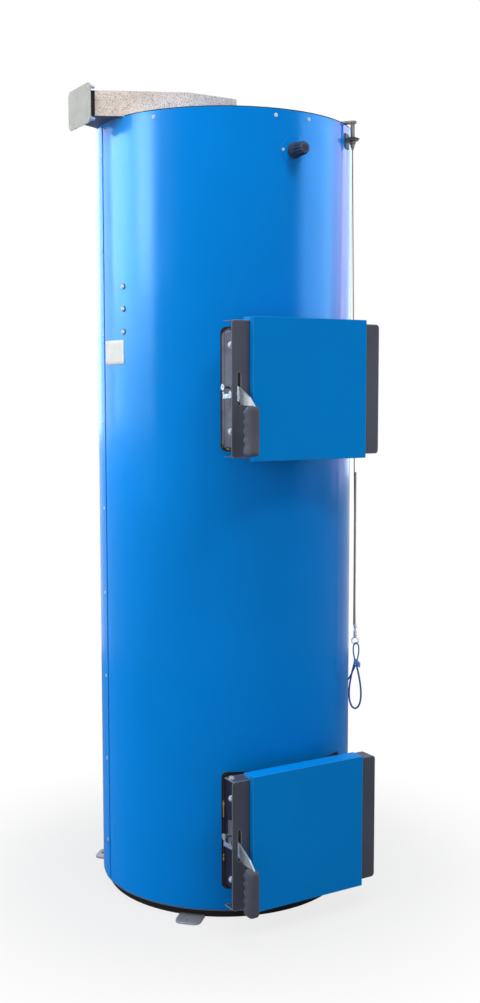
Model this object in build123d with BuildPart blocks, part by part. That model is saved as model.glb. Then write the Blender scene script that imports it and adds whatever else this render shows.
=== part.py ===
from build123d import *
import os
from math import cos, radians, sin

os.makedirs("parts", exist_ok=True)

# Millimetres. The front is -Y, +Z is up, and the floor is z = 0 under the centre of the boiler.
# A place on the round jacket is given by its azimuth: 0 at the front, positive towards +X.

# Outer jacket and base
jacket_radius = 340.0
jacket_height = 1980.0
jacket_sheet = 1.5
base_height = 25.0
base_inset = 15.0
base_plate_thickness = 6.0
base_ring_wall = 4.0
seam_azimuth = 97.5
seam_strip_width = 24.0
seam_strip_thickness = 1.2

# Water vessel and fire chamber
fit_gap = 0.3
insulation_thickness = 50.0
water_gap = 40.0
firebox_wall = 5.0
water_shell_wall = 4.0
floor_plate_thickness = 5.0
crown_drop = 80.0
crown_thickness = 5.0
water_over_roof = 85.0
firebox_seams = (78.0, 112.0, 146.0)
insulation_seams = (72.0, 116.0)

# Door ways: the cut-out in the jacket, and the steel neck that comes through it
upper_door_height = 1335.0
lower_door_height = 232.0
cutout_width = 356.0
cutout_tall = 300.0
cutout_corner = 25.0
neck_clearance = 8.0
neck_wall = 5.0
neck_corner = 6.0
neck_reach = 12.0

# Doors: sizes beyond the neck, and thicknesses from the neck's rim forwards
seal_thickness = 6.0
seal_width = 12.0
leaf_thickness = 4.0
leaf_margin_left = 14.0
leaf_margin_right = 10.0
leaf_margin_tall = 8.0
block_margin = 15.0
block_depth = 35.0
board_thickness = 39.2
board_inset = 9.0
casing_margin = 44.0
casing_margin_tall = 19.0
casing_depth = 45.0
casing_sheet = 1.5
casing_corner = 9.0
cover_side_inset = 50.0
cover_overhang = 9.0
cover_depth = 43.0
cover_sheet = 1.5
cover_stand_off = 15.0

# Hinges on the right
hinge_reach = 20.0
hinge_setback = 6.0
hinge_spacing = 200.0
hinge_pin_radius = 5.0
hinge_running_gap = 0.3
hinge_lug_thickness = 6.0
hinge_lug_radius = 11.0
hinge_knuckle_tall = 12.0
hinge_pin_head = 3.0

# Latch and handle on the left
pivot_reach = 17.7
pivot_radius = 4.0
cheek_thickness = 4.0
lever_thickness = 4.0
lever_spacing = 3.5
lever_hub_radius = 13.0
slot_width = 9.0
slot_tall = 78.0
slot_rise = 1.0
keeper_pin_radius = 5.0
keeper_pin_setback = 11.0
keeper_pin_rise = 5.0
keeper_head = 3.0
keeper_plate_thickness = 4.0
keeper_plate_tall = 70.0
keeper_plate_depth = 32.0
keeper_setback = 6.0
latch_release_gap = 5.0
hook_thickness = 9.0
grip_length = 118.0
grip_depth = 34.0
grip_thickness = 19.0
grip_stand_off = 59.0
grip_top_drop = 38.0
grip_edge = 1.5
grip_end = 6.0
finger_wave = 3.0
finger_waves = 4
tang_length = 40.0
tang_depth = 22.0

# Air duct on the roof
roof_sheet = 1.5
roof_flange = 30.0
duct_inner_x = -49.0
duct_bend_x = -185.0
duct_overhang = 55.0
duct_wide = 296.0
duct_narrow = 100.0
duct_tall = 61.0
duct_sheet = 2.0
duct_gasket = 14.0
duct_gasket_margin = 4.0
cover_plate_width = 134.0
cover_plate_tall = 96.0
cover_plate_thickness = 3.0
cover_plate_bevel = 10.0
cover_plate_hole_radius = 4.5
cover_plate_hole_inset = 10.0
cover_plate_shift = 9.0

# Draught regulator
regulator_drop = 94.0
escutcheon_radius = 35.0
escutcheon_thickness = 1.2
regulator_body_radius = 20.0
regulator_body_length = 8.0
regulator_shaft_radius = 4.0
regulator_hole_gap = 1.0
knob_radius = 18.0
knob_length = 22.0
knob_bevel = 2.5
knob_grip_radius = 15.0
knob_grip_length = 16.0
knob_flutes = 8
knob_flute_radius = 2.6

# Pull cable at the right: how far it stands off the jacket at its top and at its bottom
cable_azimuth = 37.0
cable_radius = 1.5
cable_hole_gap = 1.0
cable_top_stand_off = 16.0
cable_bottom_stand_off = 33.0
arm_width = 20.0
arm_thickness = 5.0
arm_length = 106.0
arm_foot = 40.0
guide_radius = 5.5
bracket_drop = 39.0
bracket_width = 30.0
bracket_plate = 4.0
bracket_tall = 36.0
nut_radius = 9.0
nut_tall = 8.0
nut_sleeve_tall = 13.0
ferrule_radius = 4.0
ferrule_tall = 19.0
ring_radius = 9.0
ring_bar = 3.0
ring_slack = 1.0

# Pull loop of flat strap
loop_bottom_height = 489.5
loop_tall = 116.5
loop_front = 20.0
loop_back = 18.0
loop_foot = 6.0
loop_bend = 8.0
strap_width = 6.0
strap_thickness = 2.0
collar_side = 10.0
collar_tall = 16.0
eye_tall = 47.0
eye_width = 12.0
eye_lean = 6.0
tail_length = 37.0

# Connections at the back
flue_radius = 90.0
flue_wall = 3.0
flue_shoulder = 3.0
flue_drop = 140.0
flue_length = 80.0
socket_radius = 26.0
socket_bore_radius = 19.0
socket_length = 25.0
flow_drop = 45.0
return_rise = 100.0

# Anchor lugs
lug_azimuth = 45.0
lug_width = 32.0
lug_thickness = 5.0
lug_length = 25.0
lug_hole_radius = 6.0

# Heights worked out from the ones above
jacket_top = base_height + jacket_height
vessel_bottom = base_height + floor_plate_thickness
vessel_crown_height = jacket_top - crown_drop
insulation_top = vessel_crown_height + crown_thickness
firebox_roof_height = vessel_crown_height - water_over_roof
flue_height = firebox_roof_height - flue_drop
flow_height = vessel_crown_height - flow_drop
return_height = vessel_bottom + return_rise
regulator_height = jacket_top - regulator_drop
bracket_height = jacket_top - bracket_drop
door_heights = (upper_door_height, lower_door_height)

# Radii and reaches from the axis
base_radius = jacket_radius - base_inset
fill_radius = jacket_radius - jacket_sheet - fit_gap
water_shell_radius = jacket_radius - insulation_thickness
firebox_radius = water_shell_radius - water_gap
firebox_inner = firebox_radius - firebox_wall
lug_reach = jacket_radius + lug_length
flue_pipe_radius = flue_radius + flue_shoulder
duct_outer_x = -(jacket_radius + duct_overhang)
cable_top_reach = jacket_radius + cable_top_stand_off
cable_bottom_reach = jacket_radius + cable_bottom_stand_off
cable_direction = Vector(sin(radians(cable_azimuth)), -cos(radians(cable_azimuth)), 0)

# Door sizes and depths forwards from the axis
neck_width = cutout_width - 2 * neck_clearance
neck_tall = cutout_tall - 2 * neck_clearance
neck_rim_depth = jacket_radius + neck_reach
seal_depth = neck_rim_depth + fit_gap
leaf_depth = seal_depth + seal_thickness
leaf_front = leaf_depth + leaf_thickness
leaf_left = neck_width / 2 + leaf_margin_left
leaf_right = neck_width / 2 + leaf_margin_right
leaf_tall = neck_tall + 2 * leaf_margin_tall
casing_front_depth = leaf_front + board_thickness + casing_sheet
casing_width = neck_width + 2 * casing_margin
casing_tall = neck_tall + 2 * casing_margin_tall
cover_front_depth = casing_front_depth + cover_stand_off
cover_width = casing_width - 2 * cover_side_inset
cover_tall = casing_tall + 2 * cover_overhang
hinge_x = neck_width / 2 + hinge_reach
hinge_depth = neck_rim_depth - hinge_setback
pivot_depth = leaf_front + pivot_reach
lever_x = -(leaf_left + cheek_thickness + lever_spacing + lever_thickness / 2)
lever_left = lever_x - lever_thickness / 2
keeper_pin_depth = neck_rim_depth - keeper_pin_setback
grip_top_depth = casing_front_depth + grip_stand_off


def front_plane(depth, height=0.0, x=0.0):
    """Plane facing the front, at a depth forwards of the axis; its x is +X and its y is up."""
    return Plane(origin=(x, -depth, height), x_dir=(1, 0, 0), z_dir=(0, -1, 0))


def back_plane(depth, height=0.0):
    """Plane facing the back, at a depth behind the axis; its x is -X and its y is up."""
    return Plane(origin=(0, depth, height), x_dir=(-1, 0, 0), z_dir=(0, 1, 0))


def side_plane(x, height):
    """Plane facing left; its x is the depth forwards of the axis and its y is up."""
    return Plane(origin=(x, 0, height), x_dir=(0, -1, 0), z_dir=(-1, 0, 0))


def reach_plane(reach, height):
    """Plane facing outwards from the jacket at the cable's azimuth; its y is up."""
    return Plane(origin=cable_direction * reach + Vector(0, 0, height),
                 x_dir=(-cable_direction.Y, cable_direction.X, 0), z_dir=cable_direction)


def cable_plan(height, z_dir=(0, 0, 1)):
    """Level plane at a height; its x points outwards along the cable's azimuth."""
    return Plane(origin=(0, 0, height), x_dir=cable_direction, z_dir=z_dir)


def cable_point(reach, height):
    """Point at the cable's azimuth, at a reach from the axis and a height."""
    return cable_direction * reach + Vector(0, 0, height)


def add_tube(radius, wall, low, high):
    """Upright tube between two heights, its outer radius and wall given."""
    with BuildSketch(Plane.XY.offset(low)) as ring:
        Circle(radius)
        Circle(radius - wall, mode=Mode.SUBTRACT)
    extrude(ring.sketch, amount=high - low)


def add_door_ways(margin, corner):
    """Cut both door ways through the front half, wider than the neck by the margin."""
    for height in door_heights:
        with BuildSketch(front_plane(0, height)) as way:
            Rectangle(neck_width + 2 * margin, neck_tall + 2 * margin)
            if corner:
                fillet(way.vertices(), corner)
        extrude(way.sketch, amount=2 * jacket_radius, mode=Mode.SUBTRACT)


def add_back_hole(radius, height, square=False):
    """Cut a round hole, or a square one, through the back half at a height."""
    with BuildSketch(back_plane(0, height)) as hole:
        if square:
            Rectangle(2 * radius, 2 * radius)
        else:
            Circle(radius)
    extrude(hole.sketch, amount=2 * jacket_radius, mode=Mode.SUBTRACT)


def add_front_hole(radius, height):
    """Drill a round hole through the front half at a height."""
    with BuildSketch(front_plane(0, height)) as hole:
        Circle(radius)
    extrude(hole.sketch, amount=2 * jacket_radius, mode=Mode.SUBTRACT)


def add_seams(azimuths, low, high):
    """Part the wall by upright joints at these azimuths on both sides."""
    with BuildSketch(Plane.XY.offset(low)) as seams:
        for azimuth in azimuths:
            for turn in (azimuth - 90, -azimuth - 90):
                with Locations(Location((0, 0, 0), (0, 0, turn))):
                    with Locations((jacket_radius / 2, 0)):
                        Rectangle(jacket_radius, fit_gap)
    extrude(seams.sketch, amount=high - low, mode=Mode.SUBTRACT)


def add_plane_seams(x, side, low, high):
    """Part the wall by two upright joints beside a way of half width x, on the side -1 or 1 along Y."""
    with BuildSketch(Plane.XY.offset(low)) as seams:
        for place in (-x, x):
            with Locations((place, side * jacket_radius / 2)):
                Rectangle(fit_gap, jacket_radius)
    extrude(seams.sketch, amount=high - low, mode=Mode.SUBTRACT)


# Base: a round plate on the floor with a black ring welded to its edge
with BuildPart() as base_ring:
    with BuildSketch(Plane.XY):
        Circle(base_radius)
    extrude(amount=base_height)
    with BuildSketch(Plane.XY.offset(base_plate_thickness)):
        Circle(base_radius - base_ring_wall)
    extrude(amount=base_height, mode=Mode.SUBTRACT)
base_ring.part.label = "base_ring"
export_step(base_ring.part, "parts/base_ring.step")

# Four anchor lugs, welded to the ring, each with a round end and a bolt hole
with BuildPart() as anchor_lugs:
    with BuildSketch(Plane.XY):
        with PolarLocations(0, 4, start_angle=lug_azimuth):
            with Locations(((base_radius + lug_reach) / 2, 0)):
                Rectangle(lug_reach - base_radius, lug_width)
            with Locations((lug_reach, 0)):
                Circle(lug_width / 2)
                Circle(lug_hole_radius, mode=Mode.SUBTRACT)
        Circle(base_radius + fit_gap, mode=Mode.SUBTRACT)
    extrude(amount=lug_thickness)
anchor_lugs.part.label = "anchor_lugs"
export_step(anchor_lugs.part, "parts/anchor_lugs.step")

# Floor plate under the vessel; the jacket fits round its edge
with BuildPart() as vessel_floor:
    with BuildSketch(Plane.XY.offset(base_height)):
        Circle(fill_radius)
    extrude(amount=floor_plate_thickness)
vessel_floor.part.label = "vessel_floor"
export_step(vessel_floor.part, "parts/vessel_floor.step")

# Fire chamber of rolled plates with upright seams, cut for the necks and the flue
with BuildPart() as firebox_shell:
    add_tube(firebox_radius, firebox_wall, vessel_bottom, firebox_roof_height)
    add_door_ways(fit_gap, neck_corner + fit_gap)
    add_back_hole(flue_pipe_radius + fit_gap, flue_height)
    add_seams(firebox_seams, vessel_bottom, firebox_roof_height)
    add_plane_seams(neck_width / 2, -1, vessel_bottom, firebox_roof_height)
firebox_shell.part.label = "firebox_shell"
export_step(firebox_shell.part, "parts/firebox_shell.step")

with BuildPart() as firebox_roof:
    with BuildSketch(Plane.XY.offset(firebox_roof_height)):
        Circle(firebox_radius)
    extrude(amount=crown_thickness)
firebox_roof.part.label = "firebox_roof"
export_step(firebox_roof.part, "parts/firebox_roof.step")

# Water shell round the fire chamber, and its crown
with BuildPart() as water_shell:
    add_tube(water_shell_radius, water_shell_wall, vessel_bottom, vessel_crown_height)
    add_door_ways(fit_gap, neck_corner + fit_gap)
    add_back_hole(flue_pipe_radius + fit_gap, flue_height)
    add_back_hole(socket_bore_radius, flow_height)
    add_back_hole(socket_bore_radius, return_height)
water_shell.part.label = "water_shell"
export_step(water_shell.part, "parts/water_shell.step")

with BuildPart() as vessel_crown:
    with BuildSketch(Plane.XY.offset(vessel_crown_height)):
        Circle(water_shell_radius)
    extrude(amount=crown_thickness)
vessel_crown.part.label = "vessel_crown"
export_step(vessel_crown.part, "parts/vessel_crown.step")

# Mineral wool batts round the vessel and over its crown, cut square round the necks and the flue
with BuildPart() as insulation_batts:
    add_tube(fill_radius, fill_radius - water_shell_radius - fit_gap, vessel_bottom, insulation_top)
    add_door_ways(fit_gap, 0)
    add_back_hole(flue_pipe_radius + fit_gap, flue_height, square=True)
    add_back_hole(socket_radius + fit_gap, flow_height)
    add_back_hole(socket_radius + fit_gap, return_height)
    add_front_hole(regulator_shaft_radius + regulator_hole_gap, regulator_height)
    add_seams(insulation_seams, vessel_bottom, insulation_top)
    add_plane_seams(neck_width / 2, -1, vessel_bottom, insulation_top)
    add_plane_seams(flue_pipe_radius, 1, vessel_bottom, insulation_top)
    with BuildSketch(Plane.XY.offset(insulation_top + fit_gap)):
        Circle(fill_radius - roof_sheet - fit_gap)
    extrude(amount=jacket_top - roof_sheet - insulation_top - fit_gap)
insulation_batts.part.label = "insulation_batts"
export_step(insulation_batts.part, "parts/insulation_batts.step")

# Outer jacket of thin sheet: a front sheet with the door cut-outs, and a back sheet
back_far = 4 * jacket_radius
back_side = (back_far * sin(radians(seam_azimuth)), -back_far * cos(radians(seam_azimuth)))
back_plan = [
    (0, 0), back_side, (back_side[0], back_far), (-back_side[0], back_far), (-back_side[0], back_side[1]),
]
with BuildPart() as jacket_front:
    add_tube(jacket_radius, jacket_sheet, base_height, jacket_top)
    with BuildSketch(Plane.XY.offset(base_height)):
        Polygon(*back_plan, align=None)
    extrude(amount=jacket_height, mode=Mode.SUBTRACT)
    add_door_ways(neck_clearance, cutout_corner)
    add_front_hole(regulator_shaft_radius + regulator_hole_gap, regulator_height)
jacket_front.part.label = "jacket_front"
export_step(jacket_front.part, "parts/jacket_front.step")

with BuildPart() as jacket_back:
    add_tube(jacket_radius, jacket_sheet, base_height, jacket_top)
    with BuildSketch(Plane.XY.offset(base_height)):
        Polygon(*[(x, y + fit_gap) for x, y in back_plan], align=None)
    extrude(amount=jacket_height, mode=Mode.INTERSECT)
    add_back_hole(flue_pipe_radius + regulator_shaft_radius, flue_height)
    add_back_hole(socket_radius + fit_gap, flow_height)
    add_back_hole(socket_radius + fit_gap, return_height)
jacket_back.part.label = "jacket_back"
export_step(jacket_back.part, "parts/jacket_back.step")

# Cover strips over the two upright seams of the jacket
with BuildPart() as seam_strips:
    with BuildSketch(Plane.XY.offset(base_height)):
        for azimuth in (seam_azimuth, -seam_azimuth):
            with Locations(Location((0, 0, 0), (0, 0, azimuth - 90))):
                with Locations((jacket_radius, 0)):
                    Rectangle(4 * seam_strip_thickness, seam_strip_width)
        Circle(jacket_radius + fit_gap, mode=Mode.SUBTRACT)
        Circle(jacket_radius + fit_gap + seam_strip_thickness, mode=Mode.INTERSECT)
    extrude(amount=jacket_height)
seam_strips.part.label = "seam_strips"
export_step(seam_strips.part, "parts/seam_strips.step")

# Roof lid: a pan with its edge turned down inside the jacket
with BuildPart() as roof_lid:
    with BuildSketch(Plane.XY.offset(jacket_top - roof_sheet)):
        Circle(fill_radius)
    extrude(amount=roof_sheet)
    add_tube(fill_radius, roof_sheet, jacket_top - roof_flange, jacket_top)
roof_lid.part.label = "roof_lid"
export_step(roof_lid.part, "parts/roof_lid.step")


def duct_outline(inset):
    """Plan of the duct: wide over the roof, tapering to its narrow outer end."""
    wide = duct_wide / 2 - inset
    narrow = duct_narrow / 2 - inset
    with BuildLine() as outline:
        Polyline(
            (duct_inner_x - inset, wide), (duct_bend_x, wide), (duct_outer_x, narrow),
            (duct_outer_x, -narrow), (duct_bend_x, -wide), (duct_inner_x - inset, -wide), close=True,
        )
    make_face(outline.line.edges())


# Air duct: a folded sheet box, open at its narrow end
with BuildPart() as air_duct:
    with BuildSketch(Plane.XY.offset(jacket_top)):
        duct_outline(0)
    extrude(amount=duct_tall)
    with BuildSketch(Plane.XY.offset(jacket_top + duct_sheet)):
        duct_outline(duct_sheet)
    extrude(amount=duct_tall - 2 * duct_sheet, mode=Mode.SUBTRACT)
air_duct.part.label = "air_duct"
export_step(air_duct.part, "parts/air_duct.step")

duct_mouth = Plane(
    origin=(duct_outer_x, 0, jacket_top + duct_tall / 2), x_dir=(0, -1, 0), z_dir=(-1, 0, 0)
)

# Gasket frame between the duct and its cover plate
with BuildPart() as duct_gasket_frame:
    with BuildSketch(duct_mouth):
        Rectangle(duct_narrow - 2 * duct_gasket_margin, duct_tall)
        Rectangle(
            duct_narrow - 4 * duct_gasket_margin, duct_tall - 2 * duct_gasket_margin, mode=Mode.SUBTRACT
        )
    extrude(amount=duct_gasket)
duct_gasket_frame.part.label = "duct_gasket_frame"
export_step(duct_gasket_frame.part, "parts/duct_gasket_frame.step")

# Cover plate with bevelled corners and four bolt holes
with BuildPart() as duct_cover_plate:
    with BuildSketch(duct_mouth.offset(duct_gasket)):
        with Locations((-cover_plate_shift, 0)):
            plate = Rectangle(cover_plate_width, cover_plate_tall)
            chamfer(plate.vertices(), cover_plate_bevel)
            with GridLocations(
                cover_plate_width - 2 * cover_plate_hole_inset,
                cover_plate_tall - 2 * cover_plate_hole_inset, 2, 2,
            ):
                Circle(cover_plate_hole_radius, mode=Mode.SUBTRACT)
    extrude(amount=cover_plate_thickness)
duct_cover_plate.part.label = "duct_cover_plate"
export_step(duct_cover_plate.part, "parts/duct_cover_plate.step")

# Draught regulator: escutcheon bent to the jacket, body with its shaft, and a fluted knob
with BuildPart() as regulator_escutcheon:
    add_tube(
        jacket_radius + fit_gap + escutcheon_thickness, escutcheon_thickness,
        regulator_height - escutcheon_radius, regulator_height + escutcheon_radius,
    )
    with BuildSketch(front_plane(0, regulator_height)):
        Circle(escutcheon_radius)
        Circle(regulator_shaft_radius + regulator_hole_gap, mode=Mode.SUBTRACT)
    extrude(amount=jacket_radius * 2, mode=Mode.INTERSECT)
regulator_escutcheon.part.label = "regulator_escutcheon"
export_step(regulator_escutcheon.part, "parts/regulator_escutcheon.step")

regulator_seat = jacket_radius + 2 * fit_gap + escutcheon_thickness
knob_depth = regulator_seat + regulator_body_length + 2 * fit_gap
shaft_depth = water_shell_radius + regulator_hole_gap
with BuildPart() as regulator_body:
    with BuildSketch(front_plane(regulator_seat, regulator_height)):
        Circle(regulator_body_radius)
    extrude(amount=regulator_body_length)
    chamfer(regulator_body.edges().filter_by(GeomType.CIRCLE).group_by(Axis.Y)[0], knob_bevel)
    with BuildSketch(front_plane(shaft_depth, regulator_height)):
        Circle(regulator_shaft_radius)
    extrude(amount=knob_depth + knob_length - shaft_depth)
regulator_body.part.label = "regulator_body"
export_step(regulator_body.part, "parts/regulator_body.step")

with BuildPart() as regulator_knob:
    with BuildSketch(front_plane(knob_depth, regulator_height)):
        Circle(knob_radius)
    extrude(amount=knob_length)
    chamfer(regulator_knob.edges().filter_by(GeomType.CIRCLE).group_by(Axis.Y)[0], knob_bevel)
    with BuildSketch(front_plane(knob_depth + knob_length, regulator_height)):
        Circle(knob_grip_radius)
        with PolarLocations(knob_grip_radius + 1, knob_flutes):
            Circle(knob_flute_radius, mode=Mode.SUBTRACT)
    extrude(amount=knob_grip_length)
    with BuildSketch(front_plane(knob_depth, regulator_height)):
        Circle(regulator_shaft_radius + fit_gap)
    extrude(amount=knob_length + fit_gap, mode=Mode.SUBTRACT)
regulator_knob.part.label = "regulator_knob"
export_step(regulator_knob.part, "parts/regulator_knob.step")

# Cable arm on the roof, with the guide tube that hangs from it
cable_hole_radius = cable_radius + cable_hole_gap
with BuildPart() as cable_arm:
    arm_inner_reach = cable_top_reach - arm_length
    with BuildSketch(cable_plan(jacket_top)):
        with Locations((arm_inner_reach + arm_foot / 2, 0)):
            Rectangle(arm_foot, arm_foot)
    extrude(amount=arm_thickness)
    with BuildSketch(cable_plan(jacket_top + arm_thickness)):
        with Locations(((arm_inner_reach + cable_top_reach) / 2, 0)):
            Rectangle(arm_length, arm_width)
        with Locations((cable_top_reach, 0)):
            Circle(arm_width / 2)
    extrude(amount=arm_thickness)
    with BuildSketch(cable_plan(jacket_top + arm_thickness)):
        with Locations((cable_top_reach, 0)):
            Circle(guide_radius)
            Circle(cable_hole_radius, mode=Mode.SUBTRACT)
    extrude(amount=bracket_height + bracket_plate - jacket_top - arm_thickness)
cable_arm.part.label = "cable_arm"
export_step(cable_arm.part, "parts/cable_arm.step")

# Bracket on the jacket that holds the lower end of the guide tube
with BuildPart() as cable_bracket:
    with BuildSketch(cable_plan(bracket_height)):
        with Locations(((jacket_radius + cable_top_reach) / 2, 0)):
            Rectangle(cable_top_reach - jacket_radius - 2 * fit_gap, bracket_width)
        with Locations((cable_top_reach, 0)):
            Circle(bracket_width / 2)
            Circle(cable_hole_radius, mode=Mode.SUBTRACT)
    extrude(amount=bracket_plate)
    with BuildSketch(reach_plane(jacket_radius + fit_gap, bracket_height)):
        Rectangle(bracket_width, bracket_tall)
    extrude(amount=bracket_plate / 2)
cable_bracket.part.label = "cable_bracket"
export_step(cable_bracket.part, "parts/cable_bracket.step")

# Taut cable: nut and sleeve at its top, and a ferrule with a ring at its bottom
sleeve_bottom = bracket_height - nut_tall - nut_sleeve_tall
eye_top = loop_bottom_height + loop_tall + collar_tall + eye_tall
ring_middle = eye_top - strap_thickness - ring_slack - ring_bar / 2 + ring_radius
ferrule_bottom = ring_middle + ring_radius
with BuildPart() as pull_cable:
    with BuildSketch(cable_plan(bracket_height, (0, 0, -1))):
        with Locations((cable_top_reach, 0)):
            RegularPolygon(nut_radius, 6)
    extrude(amount=nut_tall)
    with BuildSketch(cable_plan(bracket_height, (0, 0, -1))):
        with Locations((cable_top_reach, 0)):
            Circle(guide_radius)
    extrude(amount=nut_tall + nut_sleeve_tall)
    cable_top = cable_point(cable_top_reach, sleeve_bottom + nut_sleeve_tall / 2)
    cable_bottom = cable_point(cable_bottom_reach, ferrule_bottom)
    with BuildSketch(Plane(origin=cable_top, x_dir=cable_direction.cross(Vector(0, 0, 1)),
                           z_dir=cable_bottom - cable_top)):
        Circle(cable_radius)
    extrude(amount=(cable_bottom - cable_top).length)
    with BuildSketch(cable_plan(ferrule_bottom)):
        with Locations((cable_bottom_reach, 0)):
            Circle(ferrule_radius)
    extrude(amount=ferrule_tall)
    with BuildSketch(reach_plane(cable_bottom_reach, ring_middle)):
        Circle(ring_radius + ring_bar / 2)
        Circle(ring_radius - ring_bar / 2, mode=Mode.SUBTRACT)
    extrude(amount=ring_bar / 2, both=True)
pull_cable.part.label = "pull_cable"
export_step(pull_cable.part, "parts/pull_cable.step")

# Pull loop of strap: the loop for the hand, a collar, the eye that hangs in the ring, and the free tail
loop_normal = cable_direction.cross(Vector(0, 0, 1))
loop_plane = Plane(origin=(0, 0, 0), x_dir=cable_direction, z_dir=loop_normal)
loop_top = loop_bottom_height + loop_tall
collar_reach = cable_bottom_reach + eye_lean


def add_strap(points, bend, close=False):
    """Strap along a line of points (reach, height) with rounded bends."""
    with BuildLine(loop_plane) as path:
        FilletPolyline(*points, radius=bend, close=close)
    with BuildSketch(Plane(origin=path.line @ 0, x_dir=loop_normal, z_dir=path.line % 0)) as section:
        Rectangle(strap_width, strap_thickness)
    sweep(section.sketch, path=path.line)


with BuildPart() as pull_loop:
    low = loop_bottom_height + strap_thickness / 2
    near, far = cable_bottom_reach - loop_back, cable_bottom_reach + loop_front
    collar_half = collar_side / 2 - strap_thickness
    add_strap([
        (collar_reach - collar_half, loop_top + 1), (near, low + loop_tall * 0.6), (near, low + loop_tall * 0.35),
        (cable_bottom_reach - loop_foot, low), (cable_bottom_reach + loop_foot, low),
        (far, low + loop_tall * 0.35), (far, low + loop_tall * 0.65), (collar_reach + collar_half, loop_top + 1),
    ], loop_bend)
    with BuildSketch(cable_plan(loop_top)):
        with Locations((collar_reach, 0)):
            Rectangle(collar_side, strap_width + strap_thickness)
    extrude(amount=collar_tall + strap_thickness)
    eye_half = (eye_width - strap_thickness) / 2
    eye_low, eye_high = loop_top + collar_tall, eye_top - strap_thickness / 2
    add_strap([
        (collar_reach - eye_half, eye_low), (cable_bottom_reach - eye_half, eye_high),
        (cable_bottom_reach + eye_half, eye_high), (collar_reach + eye_half, eye_low),
    ], eye_half - fit_gap, close=True)
    tail_top = cable_point(collar_reach, loop_top + strap_thickness)
    with BuildSketch(Plane(origin=tail_top, x_dir=loop_normal, z_dir=cable_point(-1, -1).normalized())):
        Rectangle(strap_width, strap_thickness)
    extrude(amount=tail_length)
pull_loop.part.label = "pull_loop"
export_step(pull_loop.part, "parts/pull_loop.step")

# Flue outlet with a shoulder that stops the pipe, and water sockets, at the back
with BuildPart() as flue_stub:
    with BuildSketch(back_plane(0, flue_height)):
        Circle(flue_pipe_radius)
    extrude(amount=jacket_radius + 2 * flue_shoulder)
    with BuildSketch(back_plane(0, flue_height)):
        Circle(flue_radius)
    extrude(amount=jacket_radius + flue_length)
    with BuildSketch(back_plane(0, flue_height)):
        Circle(flue_radius - flue_wall)
    extrude(amount=jacket_radius + flue_length, mode=Mode.SUBTRACT)
    with BuildSketch(Plane.XY.offset(flue_height - 2 * flue_radius)):
        Circle(firebox_inner)
    extrude(amount=4 * flue_radius, mode=Mode.SUBTRACT)
flue_stub.part.label = "flue_stub"
export_step(flue_stub.part, "parts/flue_stub.step")

with BuildPart() as water_sockets:
    with BuildSketch(back_plane(0)):
        with Locations((0, flow_height), (0, return_height)):
            Circle(socket_radius)
            Circle(socket_bore_radius, mode=Mode.SUBTRACT)
    extrude(amount=jacket_radius + socket_length)
    with BuildSketch(Plane.XY):
        Circle(water_shell_radius + fit_gap)
    extrude(amount=jacket_top, mode=Mode.SUBTRACT)
water_sockets.part.label = "water_sockets"
export_step(water_sockets.part, "parts/water_sockets.step")

# Hinge pins with round heads, two to a door
with BuildPart() as hinge_pins:
    lug_end = hinge_knuckle_tall / 2 + hinge_lug_thickness
    for height in door_heights:
        for hinge in (height - hinge_spacing / 2, height + hinge_spacing / 2):
            with BuildSketch(Plane.XY.offset(hinge - lug_end - hinge_pin_head)):
                with Locations((hinge_x, -hinge_depth)):
                    Circle(hinge_pin_radius)
            extrude(amount=2 * lug_end + hinge_pin_head)
            with BuildSketch(Plane.XY.offset(hinge + lug_end)):
                with Locations((hinge_x, -hinge_depth)):
                    Circle(hinge_pin_radius + hinge_pin_head)
            extrude(amount=hinge_pin_head)
hinge_pins.part.label = "hinge_pins"
export_step(hinge_pins.part, "parts/hinge_pins.step")

# Keepers on the left walls of the door necks: a plate with a headed pin for the latch hook
with BuildPart() as latch_keepers:
    for height in door_heights:
        with BuildSketch(side_plane(-neck_width / 2, height)):
            with Locations((neck_rim_depth - keeper_setback - keeper_plate_depth / 2, 0)):
                RectangleRounded(keeper_plate_depth, keeper_plate_tall, keeper_plate_thickness)
        extrude(amount=keeper_plate_thickness)
        with BuildSketch(side_plane(-neck_width / 2, height)):
            with Locations((keeper_pin_depth, keeper_pin_rise)):
                Circle(keeper_pin_radius)
        extrude(amount=-lever_left - neck_width / 2 + lever_spacing)
        with BuildSketch(side_plane(lever_left - lever_spacing, height)):
            with Locations((keeper_pin_depth, keeper_pin_rise)):
                Circle(keeper_pin_radius + keeper_head)
        extrude(amount=lever_thickness)
latch_keepers.part.label = "latch_keepers"
export_step(latch_keepers.part, "parts/latch_keepers.step")

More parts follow.
